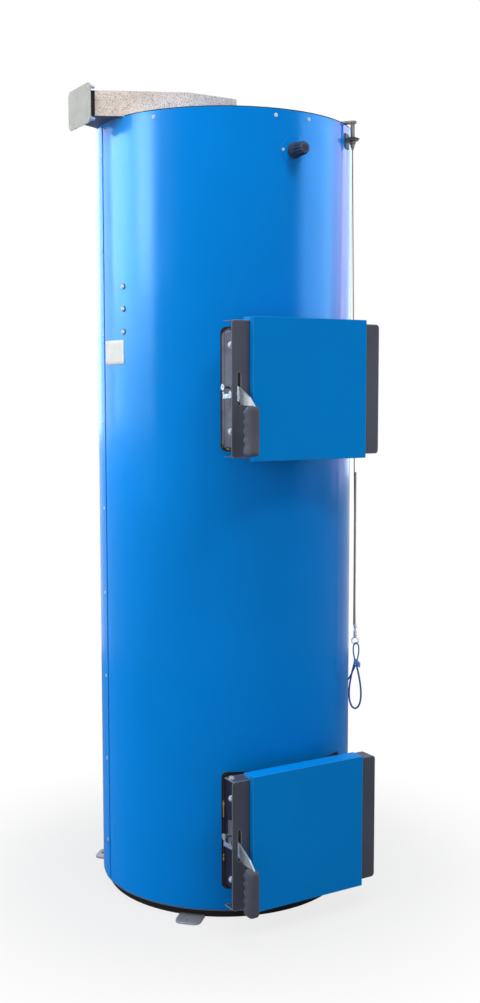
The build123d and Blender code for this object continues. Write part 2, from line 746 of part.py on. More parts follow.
# Doors: the same set of pieces at two heights
for side, middle in zip(("upper", "lower"), door_heights):

    # Neck of the door way, welded through the vessel, with the frame's hinge lugs on its right
    with BuildPart() as neck:
        with BuildSketch(front_plane(0, middle)):
            RectangleRounded(neck_width, neck_tall, neck_corner)
            RectangleRounded(
                neck_width - 2 * neck_wall, neck_tall - 2 * neck_wall, neck_corner - neck_wall,
                mode=Mode.SUBTRACT,
            )
        extrude(amount=neck_rim_depth)
        with BuildSketch(Plane.XY.offset(middle - neck_tall)):
            Circle(firebox_inner)
        extrude(amount=2 * neck_tall, mode=Mode.SUBTRACT)
        for hinge in (-hinge_spacing / 2, hinge_spacing / 2):
            for low in (-hinge_knuckle_tall / 2 - hinge_lug_thickness, hinge_knuckle_tall / 2):
                with BuildSketch(Plane.XY.offset(middle + hinge + low)):
                    with Locations(((neck_width / 2 + hinge_x) / 2, -hinge_depth + hinge_lug_radius / 2)):
                        Rectangle(hinge_x - neck_width / 2, hinge_lug_radius)
                    with Locations((hinge_x, -hinge_depth)):
                        Circle(hinge_lug_radius)
                        Circle(hinge_pin_radius + fit_gap / 3, mode=Mode.SUBTRACT)
                extrude(amount=hinge_lug_thickness)
    neck.part.label = f"{side}_door_neck"
    export_step(neck.part, f"parts/{side}_door_neck.step")

    # Door leaf: steel plate, hinge knuckles at its right, cheek and pivot for the handle at its left
    with BuildPart() as leaf:
        with BuildSketch(front_plane(leaf_depth, middle, (leaf_right - leaf_left) / 2)):
            Rectangle(leaf_left + leaf_right, leaf_tall)
        extrude(amount=leaf_thickness)
        knuckle = hinge_knuckle_tall - 2 * hinge_running_gap
        knuckle_x = leaf_right - hinge_setback
        for hinge in (-hinge_spacing / 2, hinge_spacing / 2):
            with BuildSketch(Plane.XY.offset(middle + hinge - knuckle / 2)):
                with BuildLine():
                    Polyline(
                        (hinge_x, -hinge_depth), (knuckle_x, -hinge_depth - hinge_lug_radius),
                        (knuckle_x, -leaf_front), (hinge_x + leaf_thickness, -leaf_front), close=True,
                    )
                make_face()
                with Locations((hinge_x, -hinge_depth)):
                    Circle(hinge_lug_radius - 1)
                    Circle(hinge_pin_radius + hinge_running_gap, mode=Mode.SUBTRACT)
            extrude(amount=knuckle)
        with BuildSketch(side_plane(-leaf_left, middle)):
            with Locations((pivot_depth, 0)):
                Circle(lever_hub_radius)
            with Locations(((leaf_depth + pivot_depth) / 2, 0)):
                Rectangle(pivot_depth - leaf_depth, 2 * lever_hub_radius)
        extrude(amount=cheek_thickness)
        with BuildSketch(side_plane(-leaf_left, middle)):
            with Locations((pivot_depth, 0)):
                Circle(pivot_radius)
        extrude(amount=-lever_left - leaf_left + 1)
        with BuildSketch(side_plane(lever_left - 1, middle)):
            with Locations((pivot_depth, 0)):
                RegularPolygon(pivot_radius + keeper_head, 6)
        extrude(amount=cheek_thickness)
    leaf.part.label = f"{side}_door_leaf"
    export_step(leaf.part, f"parts/{side}_door_leaf.step")

    # Rope seal that closes on the neck's rim
    seal_middle_width = neck_width - neck_wall
    seal_middle_tall = neck_tall - neck_wall
    with BuildPart() as seal:
        with BuildSketch(front_plane(seal_depth, middle)):
            RectangleRounded(
                seal_middle_width + seal_width, seal_middle_tall + seal_width, neck_corner + seal_width / 2
            )
            RectangleRounded(
                seal_middle_width - seal_width, seal_middle_tall - seal_width, neck_corner,
                mode=Mode.SUBTRACT,
            )
        extrude(amount=seal_thickness)
    seal.part.label = f"{side}_door_seal"
    export_step(seal.part, f"parts/{side}_door_seal.step")

    # Fireproof block that reaches back into the door way
    with BuildPart() as block:
        with BuildSketch(front_plane(leaf_depth - block_depth, middle)):
            RectangleRounded(
                neck_width - 2 * neck_wall - 2 * block_margin, neck_tall - 2 * neck_wall - 2 * block_margin,
                neck_corner,
            )
        extrude(amount=block_depth)
        chamfer(block.faces().sort_by(Axis.Y)[-1].edges(), neck_corner / 2)
    block.part.label = f"{side}_door_block"
    export_step(block.part, f"parts/{side}_door_block.step")

    # Insulating board between the leaf and the casing
    board_left = -leaf_left + board_inset
    board_right = casing_width / 2 - casing_sheet - board_inset
    with BuildPart() as board:
        with BuildSketch(front_plane(leaf_front, middle, (board_left + board_right) / 2)):
            Rectangle(board_right - board_left, casing_tall - 2 * casing_sheet - 2 * fit_gap)
        extrude(amount=board_thickness)
    board.part.label = f"{side}_door_board"
    export_step(board.part, f"parts/{side}_door_board.step")

    # Casing: a tray of sheet, its back and left end open, slotted for the handle
    with BuildPart() as casing:
        with BuildSketch(front_plane(casing_front_depth - casing_depth, middle)):
            RectangleRounded(casing_width, casing_tall, casing_corner)
        extrude(amount=casing_depth)
        with BuildSketch(front_plane(casing_front_depth - casing_depth, middle, -casing_corner)):
            RectangleRounded(
                casing_width - 2 * casing_sheet + 2 * casing_corner, casing_tall - 2 * casing_sheet,
                casing_corner - casing_sheet,
            )
        extrude(amount=casing_depth - casing_sheet, mode=Mode.SUBTRACT)
        with BuildSketch(front_plane(casing_front_depth - casing_sheet, middle + slot_rise, lever_x)):
            SlotOverall(slot_tall, slot_width, rotation=90)
        extrude(amount=casing_sheet, mode=Mode.SUBTRACT)
    casing.part.label = f"{side}_door_casing"
    export_step(casing.part, f"parts/{side}_door_casing.step")

    # Cover: a tray whose sides stand on the casing and whose top and bottom fold back over it
    with BuildPart() as cover:
        with BuildSketch(front_plane(cover_front_depth - cover_depth, middle)):
            Rectangle(cover_width, cover_tall)
        extrude(amount=cover_depth)
        with BuildSketch(front_plane(cover_front_depth - cover_depth, middle)):
            Rectangle(cover_width - 2 * cover_sheet, cover_tall - 2 * cover_sheet)
        extrude(amount=cover_depth - cover_sheet, mode=Mode.SUBTRACT)
        with BuildSketch(front_plane(cover_front_depth - cover_depth, middle)):
            Rectangle(cover_width + cover_sheet, cover_tall - 2 * cover_sheet)
        extrude(amount=cover_depth - cover_stand_off, mode=Mode.SUBTRACT)
    cover.part.label = f"{side}_door_cover"
    export_step(cover.part, f"parts/{side}_door_cover.step")

    # Handle lever: hook at the back, hub on the pivot, arm through the slot, tang in the grip
    nose_top = keeper_pin_rise - keeper_pin_radius - latch_release_gap
    nose_back = keeper_pin_depth - 2 * keeper_pin_radius - 2
    grip_back = grip_top_depth - grip_depth / 2
    tang_back = grip_top_depth - tang_depth / 2
    tang_low = -grip_top_drop - tang_length
    with BuildPart() as lever:
        with BuildSketch(side_plane(lever_x + lever_thickness / 2, middle)):
            with BuildLine():
                Polyline(
                    (pivot_depth, lever_hub_radius), (pivot_depth + 22, 6),
                    (tang_back, nose_top - lever_hub_radius),
                    (grip_top_depth + tang_depth / 2, -grip_top_drop),
                    (grip_top_depth + tang_depth / 2 - 2, tang_low), (tang_back, tang_low),
                    (tang_back, -grip_top_drop), (pivot_depth + 44, -grip_top_drop), (pivot_depth + 12, -24),
                    (pivot_depth - 6, -20), (nose_back, nose_top - 2 * hook_thickness), (nose_back, nose_top),
                    (nose_back + hook_thickness / 2, nose_top),
                    (nose_back + hook_thickness, nose_top - hook_thickness * 2 / 3),
                    (keeper_pin_depth + lever_hub_radius, nose_top - hook_thickness * 2 / 3), close=True,
                )
            make_face()
            with Locations((pivot_depth, 0)):
                Circle(lever_hub_radius)
                Circle(pivot_radius + hinge_running_gap, mode=Mode.SUBTRACT)
        extrude(amount=lever_thickness)
    lever.part.label = f"{side}_handle_lever"
    export_step(lever.part, f"parts/{side}_handle_lever.step")

    # Moulded grip with finger waves along its back
    with BuildPart() as grip:
        with BuildSketch(side_plane(lever_x + grip_thickness / 2, middle - grip_top_drop)):
            with BuildLine():
                pitch = (grip_length - 2 * grip_end) / finger_waves
                back = [(grip_back, -grip_end - pitch * n / 2) for n in range(2 * finger_waves + 1)]
                back = [(d + (finger_wave if n % 2 else 0), z) for n, (d, z) in enumerate(back)]
                front_top = (grip_back + grip_depth, -grip_end / 2)
                front_low = (grip_back + grip_depth - finger_wave, -grip_length + grip_end)
                Spline(*back)
                Polyline(back[0], (grip_back + grip_end, 0), (grip_back + grip_depth - grip_end, 0), front_top)
                Line(front_top, front_low)
                Polyline(front_low, (grip_back + grip_depth / 2, -grip_length), back[-1])
            make_face()
        extrude(amount=grip_thickness)
        grip_sides = grip.faces().group_by(Axis.X)
        chamfer(grip_sides[0].edges() + grip_sides[-1].edges(), grip_edge)
        with BuildSketch(side_plane(lever_x + lever_thickness / 2 + fit_gap, middle)):
            with Locations((grip_top_depth, -grip_top_drop - tang_length / 2)):
                Rectangle(tang_depth + 2 * fit_gap, tang_length + 2 * fit_gap)
        extrude(amount=lever_thickness + 2 * fit_gap, mode=Mode.SUBTRACT)
    grip.part.label = f"{side}_handle_grip"
    export_step(grip.part, f"parts/{side}_handle_grip.step")
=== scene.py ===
# %% [markdown]
# # A tall solid fuel boiler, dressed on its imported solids
# The real object is a round steel boiler in a glossy blue sheet jacket, with two doors, an
# air duct on its roof, a draught regulator and a steel pull cable. The solids already have
# the right sizes, so this lesson gives them their finishes and adds what is too fine for
# them: screws, bolts, washers, the cable's strands, wool and a rounded grip.

import bpy
import numpy as np
from mathutils import Matrix


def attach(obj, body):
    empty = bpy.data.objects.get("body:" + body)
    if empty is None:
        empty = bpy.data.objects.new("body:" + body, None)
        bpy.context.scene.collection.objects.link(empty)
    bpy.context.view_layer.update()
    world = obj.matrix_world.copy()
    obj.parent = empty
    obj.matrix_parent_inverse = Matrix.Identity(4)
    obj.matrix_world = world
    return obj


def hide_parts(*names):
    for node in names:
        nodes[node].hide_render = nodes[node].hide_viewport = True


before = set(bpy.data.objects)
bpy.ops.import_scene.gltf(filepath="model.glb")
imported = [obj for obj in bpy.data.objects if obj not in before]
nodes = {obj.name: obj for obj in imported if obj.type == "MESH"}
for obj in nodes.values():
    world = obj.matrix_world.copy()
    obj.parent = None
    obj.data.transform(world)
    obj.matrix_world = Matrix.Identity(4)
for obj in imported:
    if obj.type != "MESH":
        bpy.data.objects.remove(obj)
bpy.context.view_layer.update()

# %% [markdown]
# ## The camera
# A photograph's camera can be found again from things whose true shape is known. Here the
# jacket's two round rims and its upright sides gave the distance, the height and the lens.
# A camera placed by eye would be quicker, but then no detail could be compared.

# %% Camera at the photograph's place
CAMERA_DISTANCE = 3.2483
CAMERA_HEIGHT = 1.3256
CAMERA_SIDE = np.radians(30.0)
HEADING, PITCH, ROLL = np.radians([30.73, -5.19, -0.05])
FOCAL_LENGTH, SENSOR_WIDTH = 42.80, 36.0
NEAREST, FURTHEST = 0.05, 60.0
lens = bpy.data.cameras.new("photo_camera")
lens.lens, lens.sensor_width = FOCAL_LENGTH, SENSOR_WIDTH
lens.clip_start, lens.clip_end = NEAREST, FURTHEST
camera = bpy.data.objects.new("photo_camera", lens)
bpy.context.scene.collection.objects.link(camera)
camera.matrix_world = (
    Matrix.Translation((-CAMERA_DISTANCE * np.sin(CAMERA_SIDE),
                        -CAMERA_DISTANCE * np.cos(CAMERA_SIDE), CAMERA_HEIGHT))
    @ Matrix.Rotation(-HEADING, 4, "Z")
    @ Matrix.Rotation(np.pi / 2 + PITCH, 4, "X")
    @ Matrix.Rotation(ROLL, 4, "Z")
)
bpy.context.scene.camera = camera
bpy.context.scene.view_settings.view_transform = "Standard"
print("camera at", np.round(camera.matrix_world.translation, 3).tolist())

# %% [markdown]
# ## Finishes come from a few shared recipes
# Every finish here is a Principled surface whose colour, roughness and bump come from noise
# on Object coordinates, so a pattern keeps its real size in metres and stays on its piece
# when a door swings. Pictures could be wrapped round the pieces instead, but they need
# unwrapping and blur when looked at closely.

# %% Helpers that add nodes to a material
def colour(red, green, blue):
    """A colour as seen on a screen, 0 to 255, turned into the linear values that light
    uses: above 10 of 255 that is ((v + 0.055) / 1.055) to the power 2.4."""
    seen = np.array([red, green, blue]) / 255.0
    linear = np.where(seen > 0.04045, ((seen + 0.055) / 1.055) ** 2.4, seen / 12.92)
    return (*linear.tolist(), 1.0)


def feed(tree, socket, given):
    """Joins another node's output to a socket, or sets a plain value on it."""
    if isinstance(given, bpy.types.NodeSocket):
        tree.links.new(given, socket)
    else:
        socket.default_value = given


def add(tree, kind, values=None, **settings):
    """One new node of a kind, with its settings, and its sockets fed by name or number."""
    made = tree.nodes.new("ShaderNode" + kind)
    for name, value in settings.items():
        setattr(made, name, value)
    for name, given in (values or {}).items():
        feed(tree, made.inputs[name], given)
    return made


def finish(name, **values):
    """A new material: a Principled surface with these constants set on its own sockets."""
    made = bpy.data.materials.new(name)
    made.use_nodes = True
    tree = made.node_tree
    tree.nodes.clear()
    skin = add(tree, "BsdfPrincipled", {k.replace("_", " "): v for k, v in values.items()})
    add(tree, "OutputMaterial", {"Surface": skin.outputs["BSDF"]})
    return made, tree, skin


print("node helpers ready")

# %% [markdown]
# ## Patterns
# Paint, metal and wool all need the same few patterns: noise, a part of it stretched to a
# new range, and two shades mixed by it. Setting up each material by hand would repeat them,
# so each is a small function that gives back a socket, and a finish joins a few of them.

# %% Helpers for patterns
def where(tree, stretch=(1, 1, 1)):
    """Object coordinates in metres, stretched along the axes."""
    spot = add(tree, "TexCoord").outputs["Object"]
    return add(tree, "Mapping", {"Vector": spot, "Scale": stretch}).outputs["Vector"]


def noise(tree, at, scale, detail=3.0, roughness=0.5):
    """Noise from 0 to 1 whose blotches are about 1 / scale metres across."""
    return add(tree, "TexNoise", {"Vector": at, "Scale": scale, "Detail": detail,
                                  "Roughness": roughness}).outputs["Fac"]


def spread(tree, value, low, high, to_low=0.0, to_high=1.0):
    """Stretches the part of a value between low and high to a new range along a smooth
    step, and clamps it."""
    return add(tree, "MapRange", {"Value": value, "From Min": low, "From Max": high,
                                  "To Min": to_low, "To Max": to_high},
               interpolation_type="SMOOTHSTEP").outputs["Result"]


def blended(tree, share, first, second):
    """first where share is 0 and second where it is 1. Each is a socket, or a colour as
    seen on a screen."""
    made = add(tree, "Mix", {"Factor": share}, data_type="RGBA")
    sockets = [s for s in made.inputs if s.type == "RGBA"]
    for socket, given in zip(sockets, (first, second)):
        feed(tree, socket, colour(*given) if isinstance(given, tuple) else given)
    return [s for s in made.outputs if s.type == "RGBA"][0]


print("pattern helpers ready")

# %% [markdown]
# ## Worn edges and relief
# Edges are where paint wears first, and where plated steel is rubbed bright. A mask could
# be painted along them, but a Bevel node finds them on any shape. Relief finer than a
# millimetre, such as orange peel or moulded grain, is bump, and what can be seen from the
# side is always in the mesh.

# %% Helpers for edges and relief
EDGE_SAMPLES = 6


def edges(tree, width, low, high):
    """1 along sharp edges and 0 on open faces: how far the normal of a shape with rounded
    edges of that width leans from the true normal, one minus their dot product."""
    rounded = add(tree, "Bevel", {"Radius": width}, samples=EDGE_SAMPLES).outputs["Normal"]
    flat = add(tree, "NewGeometry").outputs["True Normal"]
    dot = add(tree, "VectorMath", {0: rounded, 1: flat}, operation="DOT_PRODUCT")
    return spread(tree, dot.outputs["Value"], 1.0 - low, 1.0 - high)


def dress_skin(tree, skin, tone, roughness, layers, round_off=0.0):
    """Gives a surface its colour, its roughness and bump in layers, each (value, strength,
    depth in metres), one on the other. round_off softens the edges' shading by that width,
    as bent sheet has."""
    feed(tree, skin.inputs["Base Color"], tone)
    feed(tree, skin.inputs["Roughness"], roughness)
    below = {}
    if round_off:
        soft = add(tree, "Bevel", {"Radius": round_off}, samples=EDGE_SAMPLES)
        below = {"Normal": soft.outputs["Normal"]}
    for value, strength, depth in layers:
        bump = add(tree, "Bump", {"Height": value, "Strength": strength, "Distance": depth,
                                  **below})
        below = {"Normal": bump.outputs["Normal"]}
    feed(tree, skin.inputs["Normal"], below["Normal"])


print("edge and relief helpers ready")

# %% [markdown]
# ## Helpers that turn arrays into shapes
# A shape is a grid of points worked out at once with numpy: a profile turned about an axis,
# or a section carried along a path. Primitive shapes and modifiers would also do for a
# bolt, but rounded rims, ovals and twisted strands come as easily as a cylinder this way.

# %% Helpers for meshes
def full_turn(steps):
    """Angles at even steps round a whole circle, without its end."""
    return np.arange(steps) * 2 * np.pi / steps


def turned(profile, steps=24):
    """A profile of (radius, height) pairs, lowest first, turned about Z. A point is
    (r cos a, r sin a, h); the first and last pairs lie on the axis and close the ends."""
    profile = np.asarray(profile, float)
    angle = full_turn(steps)
    radius, height = profile[1:-1, :1], profile[1:-1, 1:]
    level = np.broadcast_to(height, (len(radius), steps))
    rings = np.stack([radius * np.cos(angle), radius * np.sin(angle), level], -1)
    ends = [[0, 0, profile[0, 1]], [0, 0, profile[-1, 1]]]
    points = np.concatenate([rings.reshape(-1, 3), ends])
    here = np.arange(len(radius) * steps).reshape(len(radius), steps)
    after = np.roll(here, -1, axis=1)
    quads = np.stack([here[:-1], after[:-1], after[1:], here[1:]], -1).reshape(-1, 4)
    low, high = np.full(steps, here.size), np.full(steps, here.size + 1)
    fans = np.concatenate([np.stack([low, after[0], here[0]], -1),
                           np.stack([high, here[-1], after[-1]], -1)])
    return points, quads.tolist() + fans.tolist()


def carried(rings, closed_path=False, closed_section=True):
    """Joins rows of points (row, point, xyz) into one skin. Each row is the section at one
    place of the path; an open path gets a cap at each end."""
    rows, count = rings.shape[:2]
    here = np.arange(rows * count).reshape(rows, count)
    ahead = np.roll(here, -1, axis=0)
    side = np.roll(here, -1, axis=1)
    both = np.roll(ahead, -1, axis=1)
    quads = np.stack([here, side, both, ahead], -1)
    quads = quads if closed_path else quads[:-1]
    quads = quads if closed_section else quads[:, :-1]
    faces = quads.reshape(-1, 4).tolist()
    if not closed_path and closed_section:
        faces += [here[0][::-1].tolist(), here[-1].tolist()]
    return rings.reshape(-1, 3), faces


def subdivided(outline, parts):
    """A closed outline with each of its sides cut into that many even parts."""
    side = np.roll(outline, -1, axis=0) - outline
    return np.concatenate([outline + side * k / parts for k in range(parts)], 1).reshape(-1, 2)


def squarish(angle, power):
    """An angle's cosine and sine, each with its size raised to a power below 1 and its
    sign kept. As a section they make an oval with flatter sides."""
    return [np.sign(v) * np.abs(v) ** power for v in (np.cos(angle), np.sin(angle))]


print("shape helpers ready")

# %% [markdown]
# ## Helpers that place shapes on the boiler
# The boiler has dozens of equal screws and bolts. They could be linked copies, but an array
# of turns and places gives all of them in one mesh, which rides on its body as one piece.
# Places on the jacket are given as an azimuth, a reach and a height, as on a round tower.

# %% Helpers that place shapes and make pieces
def facing(normals):
    """For each direction, a turn whose third axis is that direction and whose second axis
    is as near upright as it can be."""
    out = normals / np.linalg.norm(normals, axis=1, keepdims=True)
    up = np.where(np.abs(out[:, 2:]) > 0.9, [0.0, 1.0, 0.0], [0.0, 0.0, 1.0])
    right = np.cross(up, out)
    right /= np.linalg.norm(right, axis=1, keepdims=True)
    return np.stack([right, np.cross(out, right), out], axis=2)


def repeated(shape, places, normals):
    """Copies one shape to many places, each turned so that its Z axis is that normal. One
    normal serves all places."""
    points, faces = shape
    turns = facing(np.broadcast_to(np.asarray(normals, float), np.shape(places)))
    spots = np.einsum("nij,pj->npi", turns, points) + np.asarray(places, float)[:, None]
    sizes = len(points)
    every = [[v + sizes * n for v in f] for n in range(len(turns)) for f in faces]
    return spots.reshape(-1, 3), every


def joined(*shapes):
    """Several shapes as one."""
    points, faces, start = [], [], 0
    for some_points, some_faces in shapes:
        points.append(some_points)
        faces += [[v + start for v in f] for f in some_faces]
        start += len(some_points)
    return np.concatenate(points), faces


def piece(name, shape, material, body, smooth=True):
    """Puts a shape into a mesh at its place, dresses it and lets it ride on a body."""
    points, faces = shape
    mesh = bpy.data.meshes.new(name)
    mesh.from_pydata(np.asarray(points).tolist(), [], faces)
    mesh.validate()
    mesh.materials.append(material)
    mesh.polygons.foreach_set("use_smooth", np.full(len(mesh.polygons), smooth))
    if smooth:
        mesh.set_sharp_from_angle(angle=np.radians(40))
    made = bpy.data.objects.new(name, mesh)
    bpy.context.scene.collection.objects.link(made)
    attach(made, body)
    print(f"{name}: {len(mesh.polygons)} faces")
    return made


def around(azimuth, reach, height):
    """Point on the boiler: azimuth in degrees from the front, positive to the right; the
    point is (reach sin azimuth, - reach cos azimuth, height)."""
    angle, reach, height = np.broadcast_arrays(np.radians(azimuth), reach, height)
    return np.stack([reach * np.sin(angle), -reach * np.cos(angle), height], axis=-1)


JACKET_RADIUS = 0.340
JACKET_BOTTOM, JACKET_TOP = 0.025, 2.005
DOORS = {"upper": 1.335, "lower": 0.232}
print("jacket", JACKET_RADIUS, "door centres", DOORS)

# %% [markdown]
# ## Plated and bare metal
# Screws, bolts, levers, hinge pins and the cable's fittings are steel with a thin coat of
# zinc, which is brighter than steel and slightly cloudy. The galvanised duct shows speckles,
# and the lugs are bare rolled plate. One even grey would pass for chrome, so two clouded
# greys and a fine grain break up what each metal reflects.

# %% Zinc, galvanised sheet and bare plate
def metal(name, pale, dark, cloud, rough, grain, speck=0.0, shine=1.0, underside_shade=None):
    """A metal skin: two colours mixed by clouds and by specks, roughness from the same
    clouds, fine grain as bump, and bright rubbed edges. cloud and grain are their noises'
    scales, and faces that look down may be darkened to a colour of their own, a painted shade
    under the piece."""
    made, tree, skin = finish(name, Metallic=shine)
    at = where(tree)
    clouds = noise(tree, at, cloud, 4.0, 0.6)
    specks = noise(tree, at, grain, 2.0, 0.7)
    tone = blended(tree, spread(tree, clouds, 0.25, 1.1), pale, dark)
    if speck:
        dots = spread(tree, specks, 0.56 - speck, 0.56 + speck, 0.0, 0.9)
        tone = blended(tree, dots, tone, dark)
    tone = blended(tree, edges(tree, 0.0012, 0.03, 0.35), tone, pale)
    # Faces that look down take a darker colour: painted shade under the piece.
    if underside_shade:
        true_normal = add(tree, "NewGeometry").outputs["True Normal"]
        level = add(tree, "SeparateXYZ", {"Vector": true_normal}).outputs["Z"]
        tone = blended(tree, spread(tree, level, -0.8, -0.9), tone, underside_shade)
    roughness = spread(tree, clouds, 0.25, 0.75, rough - 0.08, rough + 0.12)
    dress_skin(tree, skin, tone, roughness, [(specks, 0.25, 0.0004)], 0.0008)
    return made


zinc = metal("zinc_plate", (216, 226, 232), (158, 166, 172), 60.0, 0.28, 900.0, 0.0, 0.8)
bright_zinc = metal("bright_zinc", (240, 248, 252), (190, 200, 206), 60.0, 0.24, 900.0, 0.0, 0.35)
plate_zinc = metal("plate_zinc", (204, 205, 201), (184, 185, 181), 30.0, 0.50, 700.0, 0.02, 0.35)
washer_steel = metal("washer_steel", (104, 106, 110), (66, 68, 72), 60.0, 0.40, 800.0)
cable_steel = metal("cable_steel", (160, 150, 138), (116, 105, 96), 60.0, 0.42, 900.0)
sleeve_steel = metal("sleeve_steel", (160, 146, 142), (122, 106, 104), 40.0, 0.45, 900.0, 0.0, 0.5)
bare_plate = metal("bare_plate", (196, 195, 200), (154, 152, 157), 22.0, 0.48, 500.0, 0.04, 0.6)
# The duct's downward faces get (58, 56, 70): painted shade under the duct.
galvanised = metal("galvanised_sheet", (250, 236, 223), (166, 153, 143), 12.0, 0.55, 360.0, 0.07,
                   0.15, (58, 56, 70))
arm_steel = metal("arm_steel", (160, 150, 140), (98, 92, 88), 60.0, 0.42, 800.0, 0.0, 0.6)
print("metals ready")

# %% [markdown]
# ## The pull cable
# A steel cable hangs from a flat arm at the roof's edge down the right-hand side and ends
# in a ring with a blue strap loop. It is a rope of six strands twisted together. A plain
# round tube would pass from far away, but close up its twist is what says steel cable, so
# a six-lobed section is turned as it is carried down a smooth spline.

# %% The cable's route and its strands
CABLE_SIDE = 37.0
CABLE_THICK = 0.003
CABLE_LAY = 0.020
ROUTE = around(CABLE_SIDE, [0.3560, 0.3618, 0.3676, 0.3730], [1.9450, 1.5300, 1.1150, 0.7015])


def smooth_line(points, name):
    """Points along the smooth NURBS spline that has the route's points as control points."""
    curve = bpy.data.curves.new(name, "CURVE")
    curve.dimensions, curve.resolution_u = "3D", 64
    spline = curve.splines.new("NURBS")
    spline.points.add(len(points) - 1)
    spline.points.foreach_set("co", np.column_stack([points, np.ones(len(points))]).ravel())
    spline.order_u, spline.use_endpoint_u = 3, True
    holder = bpy.data.objects.new(name, curve)
    mesh = bpy.data.meshes.new_from_object(holder)
    line = np.empty(len(mesh.vertices) * 3)
    mesh.vertices.foreach_get("co", line)
    bpy.data.meshes.remove(mesh)
    bpy.data.curves.remove(curve)
    return line.reshape(-1, 3)


def evenly(line, step):
    """The same line with points a step apart, and the distance of each along it."""
    along = np.append(0, np.cumsum(np.linalg.norm(np.diff(line, axis=0), axis=1)))
    at = np.linspace(0, along[-1], int(round(along[-1] / step)) + 1)
    return np.stack([np.interp(at, along, line[:, k]) for k in range(3)], 1), at


def twisted_rope(line, step, thick, lay, lobes=6, count=24):
    """A lobed section carried down a line: its radius is half the thickness times
    (0.86 + 0.14 |cos(lobes a / 2)|), and it turns once for each lay length."""
    spots, along = evenly(line, step)
    turns = facing(np.gradient(spots, axis=0))
    angle = full_turn(count)
    radius = thick / 2 * (0.86 + 0.14 * np.abs(np.cos(lobes * angle / 2)))
    turn = angle + 2 * np.pi * along[:, None] / lay
    rings = spots[:, None] + radius[:, None] * (
        np.cos(turn)[..., None] * turns[:, None, :, 0]
        + np.sin(turn)[..., None] * turns[:, None, :, 1])
    return carried(rings), spots, along[-1]


STRAND_STEP = 0.0015
cable_line = smooth_line(ROUTE, "cable_route")
rope, cable_path, cable_length = twisted_rope(cable_line, STRAND_STEP, CABLE_THICK, CABLE_LAY)
cable = piece("pull_cable_strands", rope, cable_steel, "boiler")
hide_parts("pull_cable")
print("cable length", round(cable_length, 4))

# %% [markdown]
# ## What is crimped and screwed on the cable
# At the top a nut and a sleeve hold the cable under the arm. Further down the cable is
# doubled back on itself inside a thin sleeve, and at its end a crimped ferrule holds a
# ring. Each is a profile turned about the cable's line, except the nut, which has six
# sides, and the ring, which is a small circle carried round a large one.

# %% Nut, sleeves, ferrule and ring
def hexagon(radius, low, high, chamfer=0.12):
    """A nut's body: six sides between two heights, with its corners chamfered at both
    ends; the profile is turned in six steps."""
    cut = radius * chamfer
    return turned([(0, low), (radius - cut, low), (radius, low + cut), (radius, high - cut),
                   (radius - cut, high), (0, high)], 6)


def collar(radius, low, high, soft=0.0008, steps=28):
    """A round sleeve between two heights, its edges rounded by a quarter circle."""
    bend = np.linspace(0, np.pi / 2, 4)
    foot = np.stack([radius - soft + soft * np.sin(bend), low + soft - soft * np.cos(bend)], 1)
    head = np.stack([radius - soft + soft * np.cos(bend), high - soft + soft * np.sin(bend)], 1)
    return turned([(0, low), *foot, *head, (0, high)], steps)


def ring(centre, across, radius, bar, steps=48, count=14):
    """A ring: a circle of radius bar carried round a circle of that radius, in the plane
    whose normal is across."""
    turn = facing(np.array([across], float))[0]
    around_it, section = full_turn(steps), full_turn(count)
    out = np.cos(around_it)[:, None] * turn[:, 0] + np.sin(around_it)[:, None] * turn[:, 1]
    lift = np.sin(section)[None, :, None] * turn[:, 2]
    rings = np.asarray(centre) + out[:, None] * (radius + bar * np.cos(section))[None, :, None]
    return carried((rings + bar * lift)[:, ::-1], closed_path=True)


def at_cable(shape, height):
    """Moves a shape made about the Z axis to the cable at a height."""
    spot = np.array([np.interp(height, cable_path[::-1, 2], cable_path[::-1, k])
                     for k in (0, 1)] + [0.0])
    return shape[0] + spot, shape[1]


top_fitting = piece("cable_top_fitting", joined(
    at_cable(hexagon(0.0090, 1.9580, 1.9660), 1.962),
    at_cable(collar(0.0055, 1.9500, 1.9585), 1.950),
    at_cable(collar(0.0034, 1.9440, 1.9505, 0.0006), 1.946)), arm_steel, "boiler")
lower_sleeve = piece("cable_lower_sleeve", at_cable(collar(0.0029, 0.7150, 1.1200, 0.0005), 0.90),
                     sleeve_steel, "boiler")
RING_CENTRE = around(CABLE_SIDE, 0.373, 0.6735)
RING_RADIUS, RING_BAR = 0.0090, 0.0015
CABLE_ACROSS = around(CABLE_SIDE + 90, 1.0, 0.0)
ferrule = [at_cable(collar(radius, low, high, soft), height)
           for radius, low, high, soft, height in (
               (0.0040, 0.6825, 0.7015, 0.0010, 0.702), (0.0047, 0.6880, 0.6915, 0.0008, 0.702),
               (0.0047, 0.6950, 0.6985, 0.0008, 0.702), (0.0038, 0.7060, 0.7200, 0.0008, 0.710))]
end_fitting = piece("cable_end_fitting", joined(
    *ferrule, ring(RING_CENTRE, CABLE_ACROSS, RING_RADIUS, RING_BAR)), zinc, "boiler")
print("cable fittings done")

# %% [markdown]
# ## Powder-coated sheet
# The jacket and the door covers are steel sheet with a baked powder coat. Up close such a
# coat is slightly pebbled, like orange peel, its gloss drifts a little over a metre, and
# its corners are thinner, so they look paler. A flat blue would look like plastic film.

